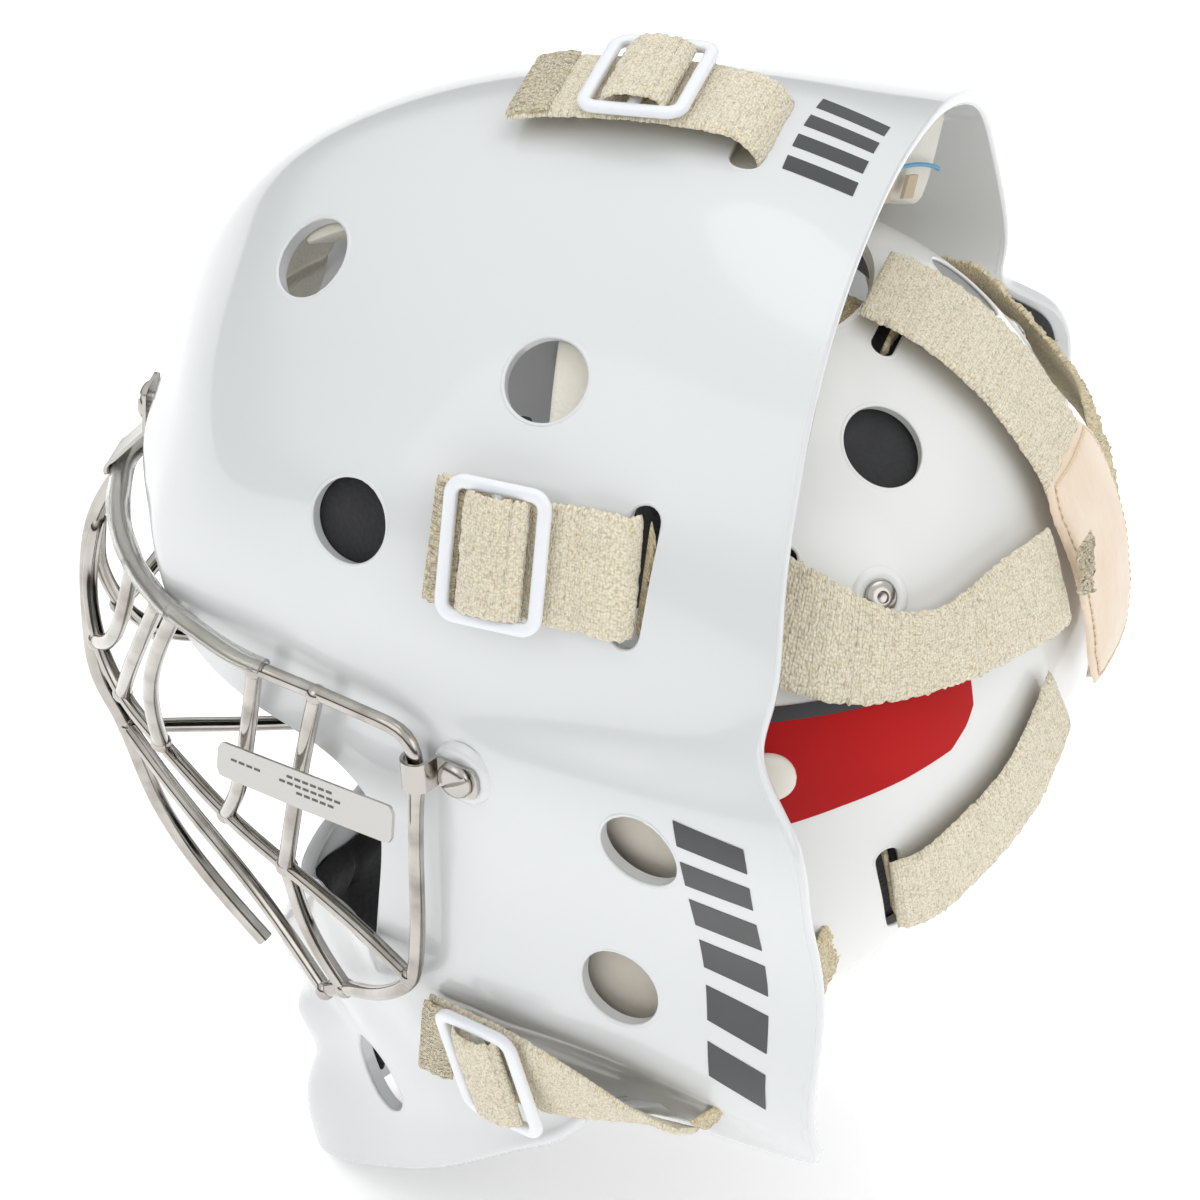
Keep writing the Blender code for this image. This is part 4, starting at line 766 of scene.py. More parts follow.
def rise(P, need):
    t = np.zeros(len(P))
    for i, p in enumerate(P):
        for k in range(40):
            x = np.array(p, float) + OUT * 0.5 * k
            q, nn = on_form((abs(x[0]), x[1], x[2]))
            if np.linalg.norm(x - q) >= need and (x - q) @ nn > -0.2 * need:
                break
        t[i] = 0.5 * k
    up = t.copy()
    for _ in range(3):
        up = np.maximum(up, np.convolve(np.pad(up, 1, mode="edge"), [0.3, 0.4, 0.3], mode="valid"))
    return np.convolve(np.pad(up, 2, mode="edge"), [0.1, 0.2, 0.4, 0.2, 0.1], mode="valid")


def refine(P, k):
    return curve_points(P, (len(P) - 1) * k + 1)


def ball(name, centre, radii, mat, axis=None):
    """Small rounded lump, such as a weld."""
    z = Vector(axis if axis is not None else (0, 0, 1)).normalized()
    f = frame_at(tuple(centre), z)
    prof = [(max(radii[0] * math.cos(t), 0.02), radii[1] * math.sin(t)) for t in np.linspace(-math.pi / 2 + 0.05, math.pi / 2 - 0.05, 9)]
    return turned(name, prof, f, mat, 16, 80)


edge0 = curve_points(PERIM, 33)
climb = rise(edge0, 5.4) * np.clip(np.abs(edge0[:, 0]) / 25.0, 0, 1)
edge = edge0 + OUT * climb[:, None]
WIRE_AT = edge[((edge - np.array([101.7, -17.4, 11.0])) ** 2).sum(1).argmin()]
full = np.concatenate([(edge[1:] * FLIP)[::-1], edge])
bars = [wire("bar_perimeter", refine(full, 4), WIRE_R, m_wire.m, 24)]
welds = []
for name, st in BARS.items():
    count = 2 * len(st)
    P = curve_points(st, count)
    need = rise(P, 4.2) * np.clip(np.abs(P[:, 0]) / 25.0, 0, 1)
    ends = []
    for p in (P[0], P[-1]):
        d = np.linalg.norm(edge0 - p, axis=1)
        ends.append(climb[d.argmin()] if d.min() < 8 else None)
    ends = [need[0] if ends[0] is None else ends[0], need[-1] if ends[1] is None else ends[1]]
    P = P + OUT * np.maximum(need, np.linspace(ends[0], ends[1], count))[:, None]
    rad = WIRE_R if name.startswith("long") else BAR_R
    if name == "long_upper":
        bars.append(wire("bar_" + name, refine(np.concatenate([(P[1:] * FLIP)[::-1], P]), 4), rad, m_wire.m, 24))
        for s in (1, -1):
            welds.append((P[-1] * np.array([s, 1, 1]), P[-1] - P[-2]))
        continue
    for s in (1, -1):
        f = np.array([s, 1, 1])
        bars.append(wire(f"bar_{name}_{s}", refine(P * f, 4), rad, m_wire.m, 24))
        welds += [(P[0] * f, (P[0] - P[1]) * f), (P[-1] * f, (P[-1] - P[-2]) * f)]
bars.append(wire("bar_centre", curve_points([(0,-124,19),(0,-132.4,2.5),(0,-134.8,-11.3),(0,-134.7,-29.2),(0,-131.7,-47.3),(0,-128.1,-54.2),(0,-118.7,-78),(0,-106.2,-98.4),(0,-89.5,-118)], 61), BAR_R + 0.13, m_wire.m, 24))
for i, (c, d) in enumerate(welds):
    bars.append(ball(f"weld_{i}", c, (2.75, 2.6), m_wire.m, d))
place(merge("cage_fine", bars), "mask", "wire", "cage")

# label plate: plain metal, corners rounded
off = np.array([0.78, -0.56, 0.10])
rows = [[(66.0,-75.5,-13.0),(65.0,-76.5,-23.5)],[(83.0,-47.5,-7.5),(82.0,-48.5,-18.8)],[(99.5,-20.3,-2.0),(98.2,-21.2,-13.8)]]
pl = np.array([[np.array(p) + OUT * 4.5 * min(1.0, p[0] / 60.0) for p in row] for row in rows], float) + off * 3.8
hi, lo = curve_points(pl[:, 0], 61), curve_points(pl[:, 1], 61)
length = np.linalg.norm(np.diff(hi, axis=0), axis=1).sum()
d = np.minimum(np.linspace(0, length, 61), np.linspace(length, 0, 61))
half = np.linalg.norm(hi - lo, axis=1) / 2
w = np.clip((half - 2.2 + np.sqrt(np.clip(2.2 ** 2 - np.clip(2.2 - d, 0, 2.2) ** 2, 0, None))) / half, 0.05, 1)
mid = (hi + lo) / 2
hi, lo = mid + (hi - mid) * w[:, None], mid + (lo - mid) * w[:, None]
base = np.stack([hi + (lo - hi) * t for t in np.linspace(0, 1, 9)], 1)
lab = [slab("label_body", base + off * 0.9, base, m_label.m)]
on_ = off / np.linalg.norm(off)
for k_, (a_, b_, y_) in enumerate(((0.40, 0.70, 0.24), (0.36, 0.72, 0.42), (0.46, 0.72, 0.60), (0.08, 0.30, 0.40))):
    for m_i in range(int((b_ - a_) / 0.045)):
        u0 = a_ + 0.045 * m_i
        us_ = np.linspace(u0, u0 + 0.032, 4) * 60
        f1 = lambda w_: np.stack([np.interp(us_, np.arange(61), (hi + (lo - hi) * w_)[:, c_]) for c_ in range(3)], 1) + off * 0.9
        g1 = np.stack([f1(y_ - 0.03), f1(y_ + 0.03)], 1)
        lab.append(slab(f"label_dash_{k_}_{m_i}", g1 + on_ * 0.10, g1 + on_ * 0.02, m_ink.m))
place(merge("label_fine", lab), "mask", "label", "cage_label_plate")

# clear sleeve pressed over the brow wire
P = refine(np.concatenate([(edge[1:13] * FLIP)[::-1], edge[:13]]), 4)
T = np.gradient(P, axis=0)
T /= np.linalg.norm(T, axis=1, keepdims=True)
side = np.cross(T, [0, 0, 1.0])
side /= np.linalg.norm(side, axis=1, keepdims=True)
upv = np.cross(side, T)
ang = np.radians(np.linspace(12, 168, 22))
wob = 1 + 0.03 * np.sin(np.arange(len(P)) * 0.7)
inner = np.stack([P + 2.35 * (math.cos(a) * side + math.sin(a) * upv) for a in ang], 1)
outer = np.stack([P + (3.15 * wob)[:, None] * (math.cos(a) * side + math.sin(a) * upv) for a in ang], 1)
place(slab("sleeve_fine", outer, inner, m_clear.m, sharp=60), "mask", "clear", "cage_sleeve")


# ------------------------------------------------------------------ clips, screws, nuts
CLIP_LIFT = 1.5


def strip(name, prof, q, fwd, nrm, wdt, half, thick, mat):
    prof = np.array(prof)
    t = np.gradient(prof, axis=0)
    t /= np.linalg.norm(t, axis=1, keepdims=True)
    out = prof + np.stack([-t[:, 1], t[:, 0]], 1) * thick
    ds = np.concatenate([[0], np.cumsum(np.linalg.norm(np.diff(prof, axis=0), axis=1))])
    dd = np.minimum(ds, ds[-1] - ds)
    k = np.clip((half - 2.2 + np.sqrt(np.clip(2.2 ** 2 - np.clip(2.2 - dd, 0, 2.2) ** 2, 0, None))) / half, 0.3, 1)
    ws = np.linspace(-1, 1, 7)
    g = lambda pr: np.stack([[q + fwd * a + nrm * c + wdt * (w * half * kk) for w in ws] for (a, c), kk in zip(pr, k)])
    return slab(name, g(out), g(prof), mat, sharp=40)


def screw_head(name, f, lift, tilt):
    prof = [(4.9, lift), (4.9, lift + 0.55), (4.75, lift + 1.0), (4.35, lift + 1.5), (3.7, lift + 1.95), (2.8, lift + 2.28), (1.6, lift + 2.45), (0.3, lift + 2.5)]
    head = turned(name, [(0.3, lift)] + prof, f, m_steel.m, 64, 30)
    v, q = slot_plug(14, 1.25, lift + 1.25, lift + 5, f @ Matrix.Rotation(tilt, 4, "Z"))
    carve(head, solids(name + "_drive", [(v, q)]))
    shank = turned(name + "_shank", [(0.3, -(SHELL_T + 3.4)), (2.0, -(SHELL_T + 3.4)), (2.3, -(SHELL_T + 3.0)), (2.3, lift + 0.2), (0.3, lift + 0.2)], f, m_steel.m, 32, 30)
    return merge(name + "_m", [head, shank])


def nut_fine(name, f):
    n = np.array(f.to_3x3()) @ np.array([0, 0, 1.0])
    R3, o = np.array(f.to_3x3()), np.array(f.translation) / MM
    pr = [(2.7, -(SHELL_T + 2.85)), (6.6, -(SHELL_T + 2.85)), (6.95, -(SHELL_T + 2.5)), (6.95, -(SHELL_T + 1.95)), (6.6, -(SHELL_T + 1.65)), (2.7, -(SHELL_T + 1.65))]
    V, F, seg = [], [], 40
    for r_, h in pr:
        V += [o + R3 @ np.array([r_ * math.cos(t), r_ * math.sin(t), h]) for t in np.linspace(0, 2 * math.pi, seg, endpoint=False)]
    for i in range(len(pr)):
        k = (i + 1) % len(pr)
        for j in range(seg):
            F.append([i * seg + j, i * seg + (j + 1) % seg, k * seg + (j + 1) % seg, k * seg + j])
    return make(name, V, F, m_steel.m, sharp=30)


for s, sd in ((1, "L"), (-1, "R")):
    q, nrm = BOLT["left"]
    q, nrm = np.array([q[0] * s, q[1], q[2]]), np.array([nrm[0] * s, nrm[1], nrm[2]])
    at = np.array([WIRE_AT[0] * s, WIRE_AT[1], WIRE_AT[2]])
    fwd = at - q
    fwd = fwd - nrm * (fwd @ nrm)
    L = np.linalg.norm(fwd)
    fwd /= L
    h = (at - q) @ nrm
    prof = [(a, CLIP_LIFT) for a in np.linspace(-6.4, 6.6, 14)]
    prof += [(L + 3.0 * math.cos(a), h + 3.0 * math.sin(a)) for a in np.radians(np.linspace(165, -60, 26))]
    clip = strip(f"clip_fine_{sd}", prof, q, fwd, nrm, np.cross(nrm, fwd), 4.2, 0.9, m_steel.m)
    place(clip, "mask", "steel", f"cage_clip_{sd}")
    f = frame_at(tuple(q), tuple(nrm))
    place(screw_head(f"screw_fine_{sd}", f, CLIP_LIFT + 1.1, 0.5 * s), "mask", "steel", f"cage_screw_{sd}")
    place(nut_fine(f"nut_fine_{sd}", f), "mask", "steel", f"tee_nut_{sd}")
q, nrm = BOLT["top"]
q, nrm = np.array([0.0, q[1], q[2]]), np.array([0.0, nrm[1], nrm[2]])
nrm /= np.linalg.norm(nrm)
down = np.cross([1.0, 0, 0], nrm)
down = -down if down[2] > 0 else down
at = np.array([0, -124.0, 19.6])
L, h = (at - q) @ down, (at - q) @ nrm
prof = [(a, CLIP_LIFT) for a in np.linspace(-6.0, 6.3, 13)]
prof += [(L + 3.3 * math.cos(a), h + 3.3 * math.sin(a)) for a in np.radians(np.linspace(150, 60, 12))]
place(strip("clip_fine_top", prof, q, down, nrm, np.array([1.0, 0, 0]), 6.0, 0.9, m_steel.m), "mask", "steel", "cage_clip_top")
f = frame_at(tuple(q), tuple(nrm))
place(screw_head("screw_fine_top", f, CLIP_LIFT + 0.95, 0.7), "mask", "steel", "cage_screw_top")
place(nut_fine("nut_fine_top", f), "mask", "steel", "tee_nut_top")


# ------------------------------------------------------------------ backplate
def dome_grid(a0, a1, e0, e1, na, ne, r):
    A, E = np.meshgrid(np.linspace(a0, a1, na), np.linspace(e0, e1, ne), indexing="ij")
    return dome(A, E, r)


def dome_frame(az, el, r=PLATE_R, tilt=0.0):
    p = dome(az, el, r)
    return frame_at(tuple(p), Vector(p) - Vector(PLATE_C)) @ Matrix.Rotation(math.radians(tilt), 4, "Z")


def slot_frame(p, q):
    a, b = Vector(dome(*p, PLATE_R)), Vector(dome(*q, PLATE_R))
    c = Vector(dome((p[0] + q[0]) / 2, (p[1] + q[1]) / 2, PLATE_R))
    z = (c - Vector(PLATE_C)).normalized()
    x = b - a
    x = (x - z * x.dot(z)).normalized()
    m = Matrix((x, z.cross(x), z)).transposed().to_4x4()
    m.translation = c * MM
    return m


def onto_dome(p):
    v = np.asarray(p, float) - np.array(PLATE_C)
    az, el = np.degrees(np.arctan2(v[0], v[1])), np.degrees(np.arcsin(v[2] / np.linalg.norm(v)))
    q = dome(az, el, PLATE_R)
    return q, (q - np.array(PLATE_C)) / np.linalg.norm(q - np.array(PLATE_C))


def dome_rim(name, f, ring, rx=0.62, ry=0.55, mat=None):
    R3, o = np.array(f.to_3x3()), np.array(f.translation) / MM
    z = R3 @ np.array([0, 0, 1.0])
    pts, nn = [], []
    for x, y in ring:
        qq, n2 = onto_dome(o + R3 @ np.array([x, y, 0]))
        pts.append(qq - n2 * 0.4)
        nn.append(n2)
    return sweep(name, pts, nn, oval(rx, ry, 12), mat or m_plate.m, cyclic=True, sharp=80)


plate = slab("plate_body", dome_grid(-74, 74, -50, 66, 97, 77, PLATE_R), dome_grid(-74, 74, -50, 66, 97, 77, PLATE_R - PLATE_T), m_plate.m)
PV_AZ, PV_EL = 35.0, 48.0
MID_SLOT = ((67.0, 20.5), (60.5, 37.0))
LOW_SLOT = ((42.0, -26.5), (47.8, -9.9))
circle = [(( VENT_R + 0.25) * math.cos(t), (VENT_R + 0.25) * math.sin(t)) for t in np.linspace(0, 2 * math.pi, 64, endpoint=False)]
plugs, prims = [], []
for s in (1, -1):
    f = dome_frame(PV_AZ * s, PV_EL)
    plugs.append(plug(VENT_R, -9, 9, f))
    prims.append(dome_rim(f"plate_vent_rim_{s}", f, circle))
    for key, sl in (("low", LOW_SLOT), ("mid", MID_SLOT)):
        f = slot_frame((sl[0][0] * s, sl[0][1]), (sl[1][0] * s, sl[1][1]))
        plugs.append(slot_plug(37, 7, -9, 9, f))
        prims.append(dome_rim(f"plate_{key}_rim_{s}", f, stadium(37.5, 7.5, 10)))
    f = dome_frame(46 * s, 29)
    plugs.append(plug(2.4, -9, 9, f, 24))
    prims.append(turned(f"plate_cup_{s}", [(4.6, -0.6), (4.6, 0.35), (5.6, 0.75), (6.4, 0.72), (7.2, 0.4), (7.8, -0.4)], f, m_plate.m, 56, 70))
f = slot_frame((8, 61), (-8, 61))
plugs.append(slot_plug(37, 7, -9, 9, f))
prims.append(dome_rim("plate_top_rim", f, stadium(37.5, 7.5, 10)))
carve(plate, solids("plate_cutters", plugs))
A1, E1 = np.linspace(-74, 74, 97), np.linspace(-50, 66, 77)
ring = [(a, -50) for a in A1] + [(74, e) for e in E1[1:]] + [(a, 66) for a in A1[::-1][1:]] + [(-74, e) for e in E1[::-1][1:-1]]
pts = [dome(min(73.2, max(-73.2, a)), min(65.2, max(-49.2, e)), PLATE_R - PLATE_T / 2) for a, e in ring]
nn = [(p - np.array(PLATE_C)) / np.linalg.norm(p - np.array(PLATE_C)) for p in pts]
prims.append(sweep("plate_edge", pts, nn, oval(1.5, PLATE_T / 2 + 0.03, 16, 2.6), m_plate.m, cyclic=True, sharp=80))
place(merge("backplate_fine", [plate] + prims), "backplate", "plate", "backplate")
for s, sd in ((1, "L"), (-1, "R")):
    f = dome_frame(46 * s, 29)
    prof = [(0.3, 0.3), (4.2, 0.3), (4.2, 0.9), (3.9, 1.5), (3.2, 1.95), (2.0, 2.15), (1.6, 2.15), (1.3, 1.5), (0.3, 1.3)]
    o = turned(f"plate_screw_fine_{sd}", prof, f, m_steel.m, 48, 30)
    place(o, "backplate", "steel", f"backplate_screw_{sd}")


# ------------------------------------------------------------------ pads
def soft(name, face, back, mat, seams=(), depth=1.3, round_=0.24, body="mask", slot="foam", nodes=(), power=0.5):
    """Crowned pad between a back grid (against its support) and a face grid."""
    n, m = face.shape[:2]
    u, v = np.linspace(-1, 1, n)[:, None], np.linspace(-1, 1, m)[None]
    du, dv = 1 - np.abs(u), 1 - np.abs(v)
    e = np.minimum(np.clip(du / round_, 0, 1), 1) * 1.0
    g = np.minimum(np.clip(dv / round_, 0, 1), 1) * 1.0
    k = (1 - (1 - e) ** 2) ** power * (1 - (1 - g) ** 2) ** power
    k = 0.14 + 0.86 * k
    k = k * (0.93 + 0.07 * (1 - u ** 2) * (1 - v ** 2))
    off_ = np.zeros((n, m))
    for kind, at_ in seams:
        dist = np.abs((u if kind == "u" else v) - at_) * (n if kind == "u" else m) / 2
        off_ += depth * np.exp(-(dist / 1.1) ** 2) + 0 * k
    thick = np.linalg.norm(face - back, axis=2)
    t = np.clip(k - off_ / np.maximum(thick, 1), 0.08, 1)[..., None]
    f2 = back + (face - back) * t
    o = slab(name, f2, back, mat, sharp=75)
    md_ = o.modifiers.new("smooth", "SUBSURF")
    md_.levels = md_.render_levels = 1
    evaluated(o)
    o.data.shade_smooth()
    return place(o, body, slot, *nodes)


def pad_grids(r0, r1, c0, c1, t0, t1, nr, nc, flip=1, draw=0.05):
    r, c = np.linspace(r0, r1, nr), np.linspace(c0, c1, nc)
    P, N = form(r, c), form_normal(r, c)
    cen, nm = P.reshape(-1, 3).mean(0), N.reshape(-1, 3).mean(0)
    inner = P - N * t1
    inner = inner + (cen - nm * t1 - inner) * draw
    f = np.array([flip, 1, 1])
    return inner * f, (P - N * t0) * f


W = SHELL_T + 0.4
a, b = pad_grids(-1.5, 1.5, 4.3, 7.7, W, SHELL_T + 11.5, 49, 45)
soft("crown_pad_fine", a, b, m_pad.m, [("v", 0.0), ("u", -0.42), ("u", 0.42)], nodes=("crown_pad",), slot="pad")
a, b = pad_grids(-2.4, 2.4, 1.3, 3.7, W, SHELL_T + 13.5, 61, 33)
soft("forehead_pad_fine", a, b, m_pad.m, [("v", 0.0), ("u", 0.0)], nodes=("forehead_pad",), slot="pad")
for s, sd in ((1, "L"), (-1, "R")):
    a, b = pad_grids(3.3, 6.3, 2.4, 6.2, W, SHELL_T + 12.5, 41, 37, s)
    soft(f"temple_pad_fine_{sd}", a, b, m_foam.m, [("v", -0.25)], nodes=(f"temple_pad_{sd}",))
    a, b = pad_grids(7.2, 10.4, 1.4, 5.2, SHELL_T + 1.5, SHELL_T + 16.5, 45, 37, s)
    soft(f"cheek_pad_fine_{sd}", a, b, m_foam.m, [("v", 0.0), ("u", 0.2)], nodes=(f"cheek_pad_{sd}",))
for s, sd in ((1, "L"), (-1, "R")):
    a, b = pad_grids(14.6, 19.0, 0.7, 3.7, SHELL_T + 0.3, SHELL_T + 6.5, 49, 37, s, draw=0.0)
    soft(f"throat_liner_{sd}", a, b, m_foam.m, [("u", 0.1)])
for s, sd in ((1, "L"), (-1, "R")):
    a, b = pad_grids(8.4, 12.3, 4.7, 7.3, SHELL_T + 3.0, SHELL_T + 9.0, 41, 33, s)
    soft(f"jaw_pad_{sd}", a, b, m_tanpad.m, [("u", 0.1)], slot="pad")
    a, b = pad_grids(7.0, 8.5, 7.3, 7.93, SHELL_T + 0.2, SHELL_T + 3.4, 31, 15, s, draw=0.0)
    soft(f"edge_foam_{sd}", a, b, m_foam.m, [], power=0.3)
    a, b = pad_grids(1.0, 3.5, 6.3, 7.78, SHELL_T + 0.4, SHELL_T + 27.0, 49, 33, s, draw=0.02)
    soft(f"rear_pad_{sd}", a, b, m_pad.m, [("v", 0.3)], slot="pad", round_=0.14, power=0.4)
    flip3 = np.array([s, 1, 1])
    rws = np.linspace(1.25, 3.3, 40)
    E_, N_ = form(rws, [7.79])[:, 0], form_normal(rws, [7.79])[:, 0]
    T_ = E_ - form(rws, [7.6])[:, 0]
    T_ /= np.linalg.norm(T_, axis=1, keepdims=True)
    path_ = (E_ - N_ * (SHELL_T + 16.0) + T_ * 0.1) * flip3
    pipe = wire(f"piping_{sd}", path_, 0.55, m_blue.m, 12)
    tabs = [pipe]
    for k0, k1 in ((8, 14), (20, 26)):
        o_ = (E_ - N_ * (SHELL_T + 18.5) - T_ * 0.2)[k0:k1] * flip3
        i_ = (E_ - N_ * (SHELL_T + 24.5) - T_ * 0.8)[k0:k1] * flip3
        g1 = np.stack([o_ + (i_ - o_) * w_ for w_ in np.linspace(0, 1, 6)], 1)
        tabs.append(slab(f"tab_{sd}_{k0}", g1 + (T_[k0:k1] * flip3)[:, None] * 0.9, g1, m_tan.m))
    place(merge(f"rear_pad_trim_{sd}", tabs), "mask", "pad")
a, b = pad_grids(16.5, 21.5, 3.6, 5.4, SHELL_T + 1.0, SHELL_T + 10.5, 49, 23)
soft("chin_pad_fine", a, b, m_foam.m, [("u", 0.0)], nodes=("chin_pad",))
fa = dome_grid(-66, 66, -39, 63, 97, 71, PLATE_R - PLATE_T - 10)
ba = dome_grid(-70, 70, -42, 64.5, 97, 71, PLATE_R - PLATE_T - 0.6)
soft("plate_pad_fine", fa, ba, m_foam.m, [("u", 0.0), ("v", -0.3), ("v", 0.35)], round_=0.12, body="backplate", nodes=("backplate_pad",))


# ------------------------------------------------------------------ straps
def lumps(n, m, amp, seed, k=1):
    """Seeded noise over a grid, smoothed k times."""
    z = np.random.default_rng(seed).normal(0, 1, (n, m))
    for _ in range(k):
        z = (z + np.roll(z, 1, 0) + np.roll(z, -1, 0) + np.roll(z, 1, 1) + np.roll(z, -1, 1)) / 5
    return amp * z / (z.std() + 1e-9)


def band(name, hi, lo, thick, mat, out, seed=1, fray=0.22, nub=0.10, step=0.75, crown=0.0, lift=0.0):
    """Woven band between two edges; out is the point it faces away from, or a direction."""
    hi, lo = np.asarray(hi, float), np.asarray(lo, float)
    L = np.linalg.norm(np.diff((hi + lo) / 2, axis=0), axis=1).sum()
    n = max(6, int(L / step))
    A, B = curve_points(hi, n), curve_points(lo, n)
    wmm = np.linalg.norm(A - B, axis=1).mean()
    m = max(8, int(wmm / step))
    Tn = np.gradient((A + B) / 2, axis=0)
    N = np.cross(A - B, Tn)
    N /= np.linalg.norm(N, axis=1, keepdims=True)
    if isinstance(out, tuple) and len(out) == 2:
        ref = np.tile(np.array(out[1], float), (n, 1))
    else:
        ref = (A + B) / 2 - np.array(out, float)
    N *= np.where((N * ref).sum(1, keepdims=True) < 0, -1, 1)
    A = A + N * lift
    B = B + N * lift
    rag = lumps(n, 2, fray, seed, 0)
    d = (A - B) / np.linalg.norm(A - B, axis=1, keepdims=True)
    A, B = A + d * rag[:, :1], B - d * rag[:, 1:]
    w = np.linspace(0, 1, m)
    base = A[:, None] + (B - A)[:, None] * w[None, :, None]
    prof = (1 - np.abs(2 * w - 1) ** 8) ** 0.5
    prof = 0.35 + 0.65 * prof
    t = thick * prof[None] + lumps(n, m, nub, seed + 1, 0) + lumps(n, m, nub, seed + 2, 2)
    ends = np.minimum(np.arange(n), np.arange(n)[::-1])
    t *= np.clip(0.6 + 0.4 * ends / 2, 0, 1)[:, None]
    t += crown * (1 - (2 * w - 1) ** 2)[None]
    low = thick * (1 - prof) * 0.35
    ln = np.concatenate([[0], np.cumsum(np.linalg.norm(np.diff((A + B) / 2, axis=0), axis=1))])
    uv = np.stack([np.tile(w * wmm, (n, 1)), np.tile(ln[:, None], (1, m))], -1)
    return slab(name, base + N[:, None] * t[..., None], base + N[:, None] * low[None, :, None], mat, uv, 80)


def edges(centre, across, width, count=None):
    """Two edges of a flat band from its centre line's stations."""
    C = curve_points(centre, count or len(centre) * 4)
    n = len(C)
    k = np.linspace(0, 1, len(centre))
    A = np.stack([np.interp(np.linspace(0, 1, n), k, np.array(across, float)[:, i]) for i in range(3)], 1)
    T = np.gradient(C, axis=0)
    T /= np.linalg.norm(T, axis=1, keepdims=True)
    A = A - T * (A * T).sum(1, keepdims=True)
    A /= np.linalg.norm(A, axis=1, keepdims=True)
    return C + A * width / 2, C - A * width / 2


path = [(0, -19, 142.6), (0, -8, 145.0), (0, 5, 146.6), (0, 18, 147.4), (0, 30, 147.2), (0, 37.2, 146.2), (0, 41.6, 143.2), (0, 43.2, 139.4)]
hi, lo = edges(path, [(1, 0, 0)] * len(path), STRAP_W)
crown = band("crown_band", hi, lo, STRAP_T, m_strap.m, ("dir", (0, 0.1, 1)), 11, lift=0.6)
tail = [(0, -19.4, 143.9), (0, -13, 145.6), (0, -8.5, 146.9)]
hi, lo = edges(tail, [(1, 0, 0)] * 3, STRAP_W - 0.6)
fold = band("crown_tail", hi, lo, 1.6, m_tail.m, ("dir", (0, 0, 1)), 12, lift=0.6)
place(merge("crown_strap_fine", [crown, fold]), "mask", "strap", "crown_strap")


def slider_fine(key, q, nrm, along, length, width, lift):
    """Moulded slider frame with its middle bar, and the raised loop of band over that bar."""
    q, nrm, along = np.array(q, float), np.array(nrm, float), np.array(along, float)
    nrm /= np.linalg.norm(nrm)
    along = along - nrm * (along @ nrm)
    along /= np.linalg.norm(along)
    acr = np.cross(nrm, along)
    o = q + nrm * (lift + 1.5)
    hl, hw, rc = length / 2 - 1.7, width / 2 - 1.6, 3.6
    ring = []
    for cx, cy, a0 in ((hl - rc, hw - rc, 0), (-hl + rc, hw - rc, 90), (-hl + rc, -hw + rc, 180), (hl - rc, -hw + rc, 270)):
        for k in range(9):
            a = math.radians(a0 + 11.25 * k)
            ring.append(o + along * (cx + rc * math.cos(a)) + acr * (cy + rc * math.sin(a)))
        nx = {0: (-1, 0), 90: (0, -1), 180: (1, 0), 270: (0, 1)}[a0]
    sec = oval(1.75, 1.4, 20, 2.7)
    fr = sweep(f"slider_ring_{key}", ring, nrm, sec, m_slider.m, cyclic=True, sharp=70)
    bar = sweep(f"slider_bar_{key}", [o - acr * (hw + 0.2) * t - nrm * 0.1 for t in np.linspace(1, -1, 13)], nrm, oval(1.5, 1.2, 16, 2.6), m_slider.m, sharp=70)
    ob = place(merge(f"slider_fine_{key}", [fr, bar]), f"adjuster_{key}", "slider", f"slider_{key}")
    half = hl - 3.2
    x = np.linspace(-half, half, 45)
    up = 3.5 * np.clip(1 - np.abs(x / half) ** 3.2, 0, 1) + 0.8
    C = o[None] + along * x[:, None] + nrm * up[:, None]
    wl = (2 * hw - 3.2) / 2
    loop_ = band(f"loop_{key}", C + acr * wl, C - acr * wl, 1.7, m_strap.m, ("dir", tuple(nrm)), 31, fray=0.25, nub=0.13, lift=-1.7)
    place(loop_, f"adjuster_{key}", "strap", f"strap_loop_{key}")
    return ob


slider_fine("crown", (0, 12.5, 147.4), (0, -0.06, 1), (0, 1, 0.03), 28, 37, 3.3)


def surface_edges(points, lifts, width, s, end=None):
    Q, N = [], []
    for p, h in zip(points, lifts):
        q, nn = on_form(p)
        Q.append(q + nn * h)
        N.append(nn)
    for p, nn in end or []:
        Q.append(np.array(p, float))
        N.append(np.array(nn, float))
    C = curve_points(Q, 61)
    k, kk = np.linspace(0, 1, len(Q)), np.linspace(0, 1, 61)
    N = np.stack([np.interp(kk, k, np.array(N)[:, i]) for i in range(3)], 1)
    T = np.gradient(C, axis=0)
    T /= np.linalg.norm(T, axis=1, keepdims=True)
    A = np.cross(N, T)
    A /= np.linalg.norm(A, axis=1, keepdims=True)
    f = np.array([s, 1, 1])
    return (C + A * width / 2) * f, (C - A * width / 2) * f


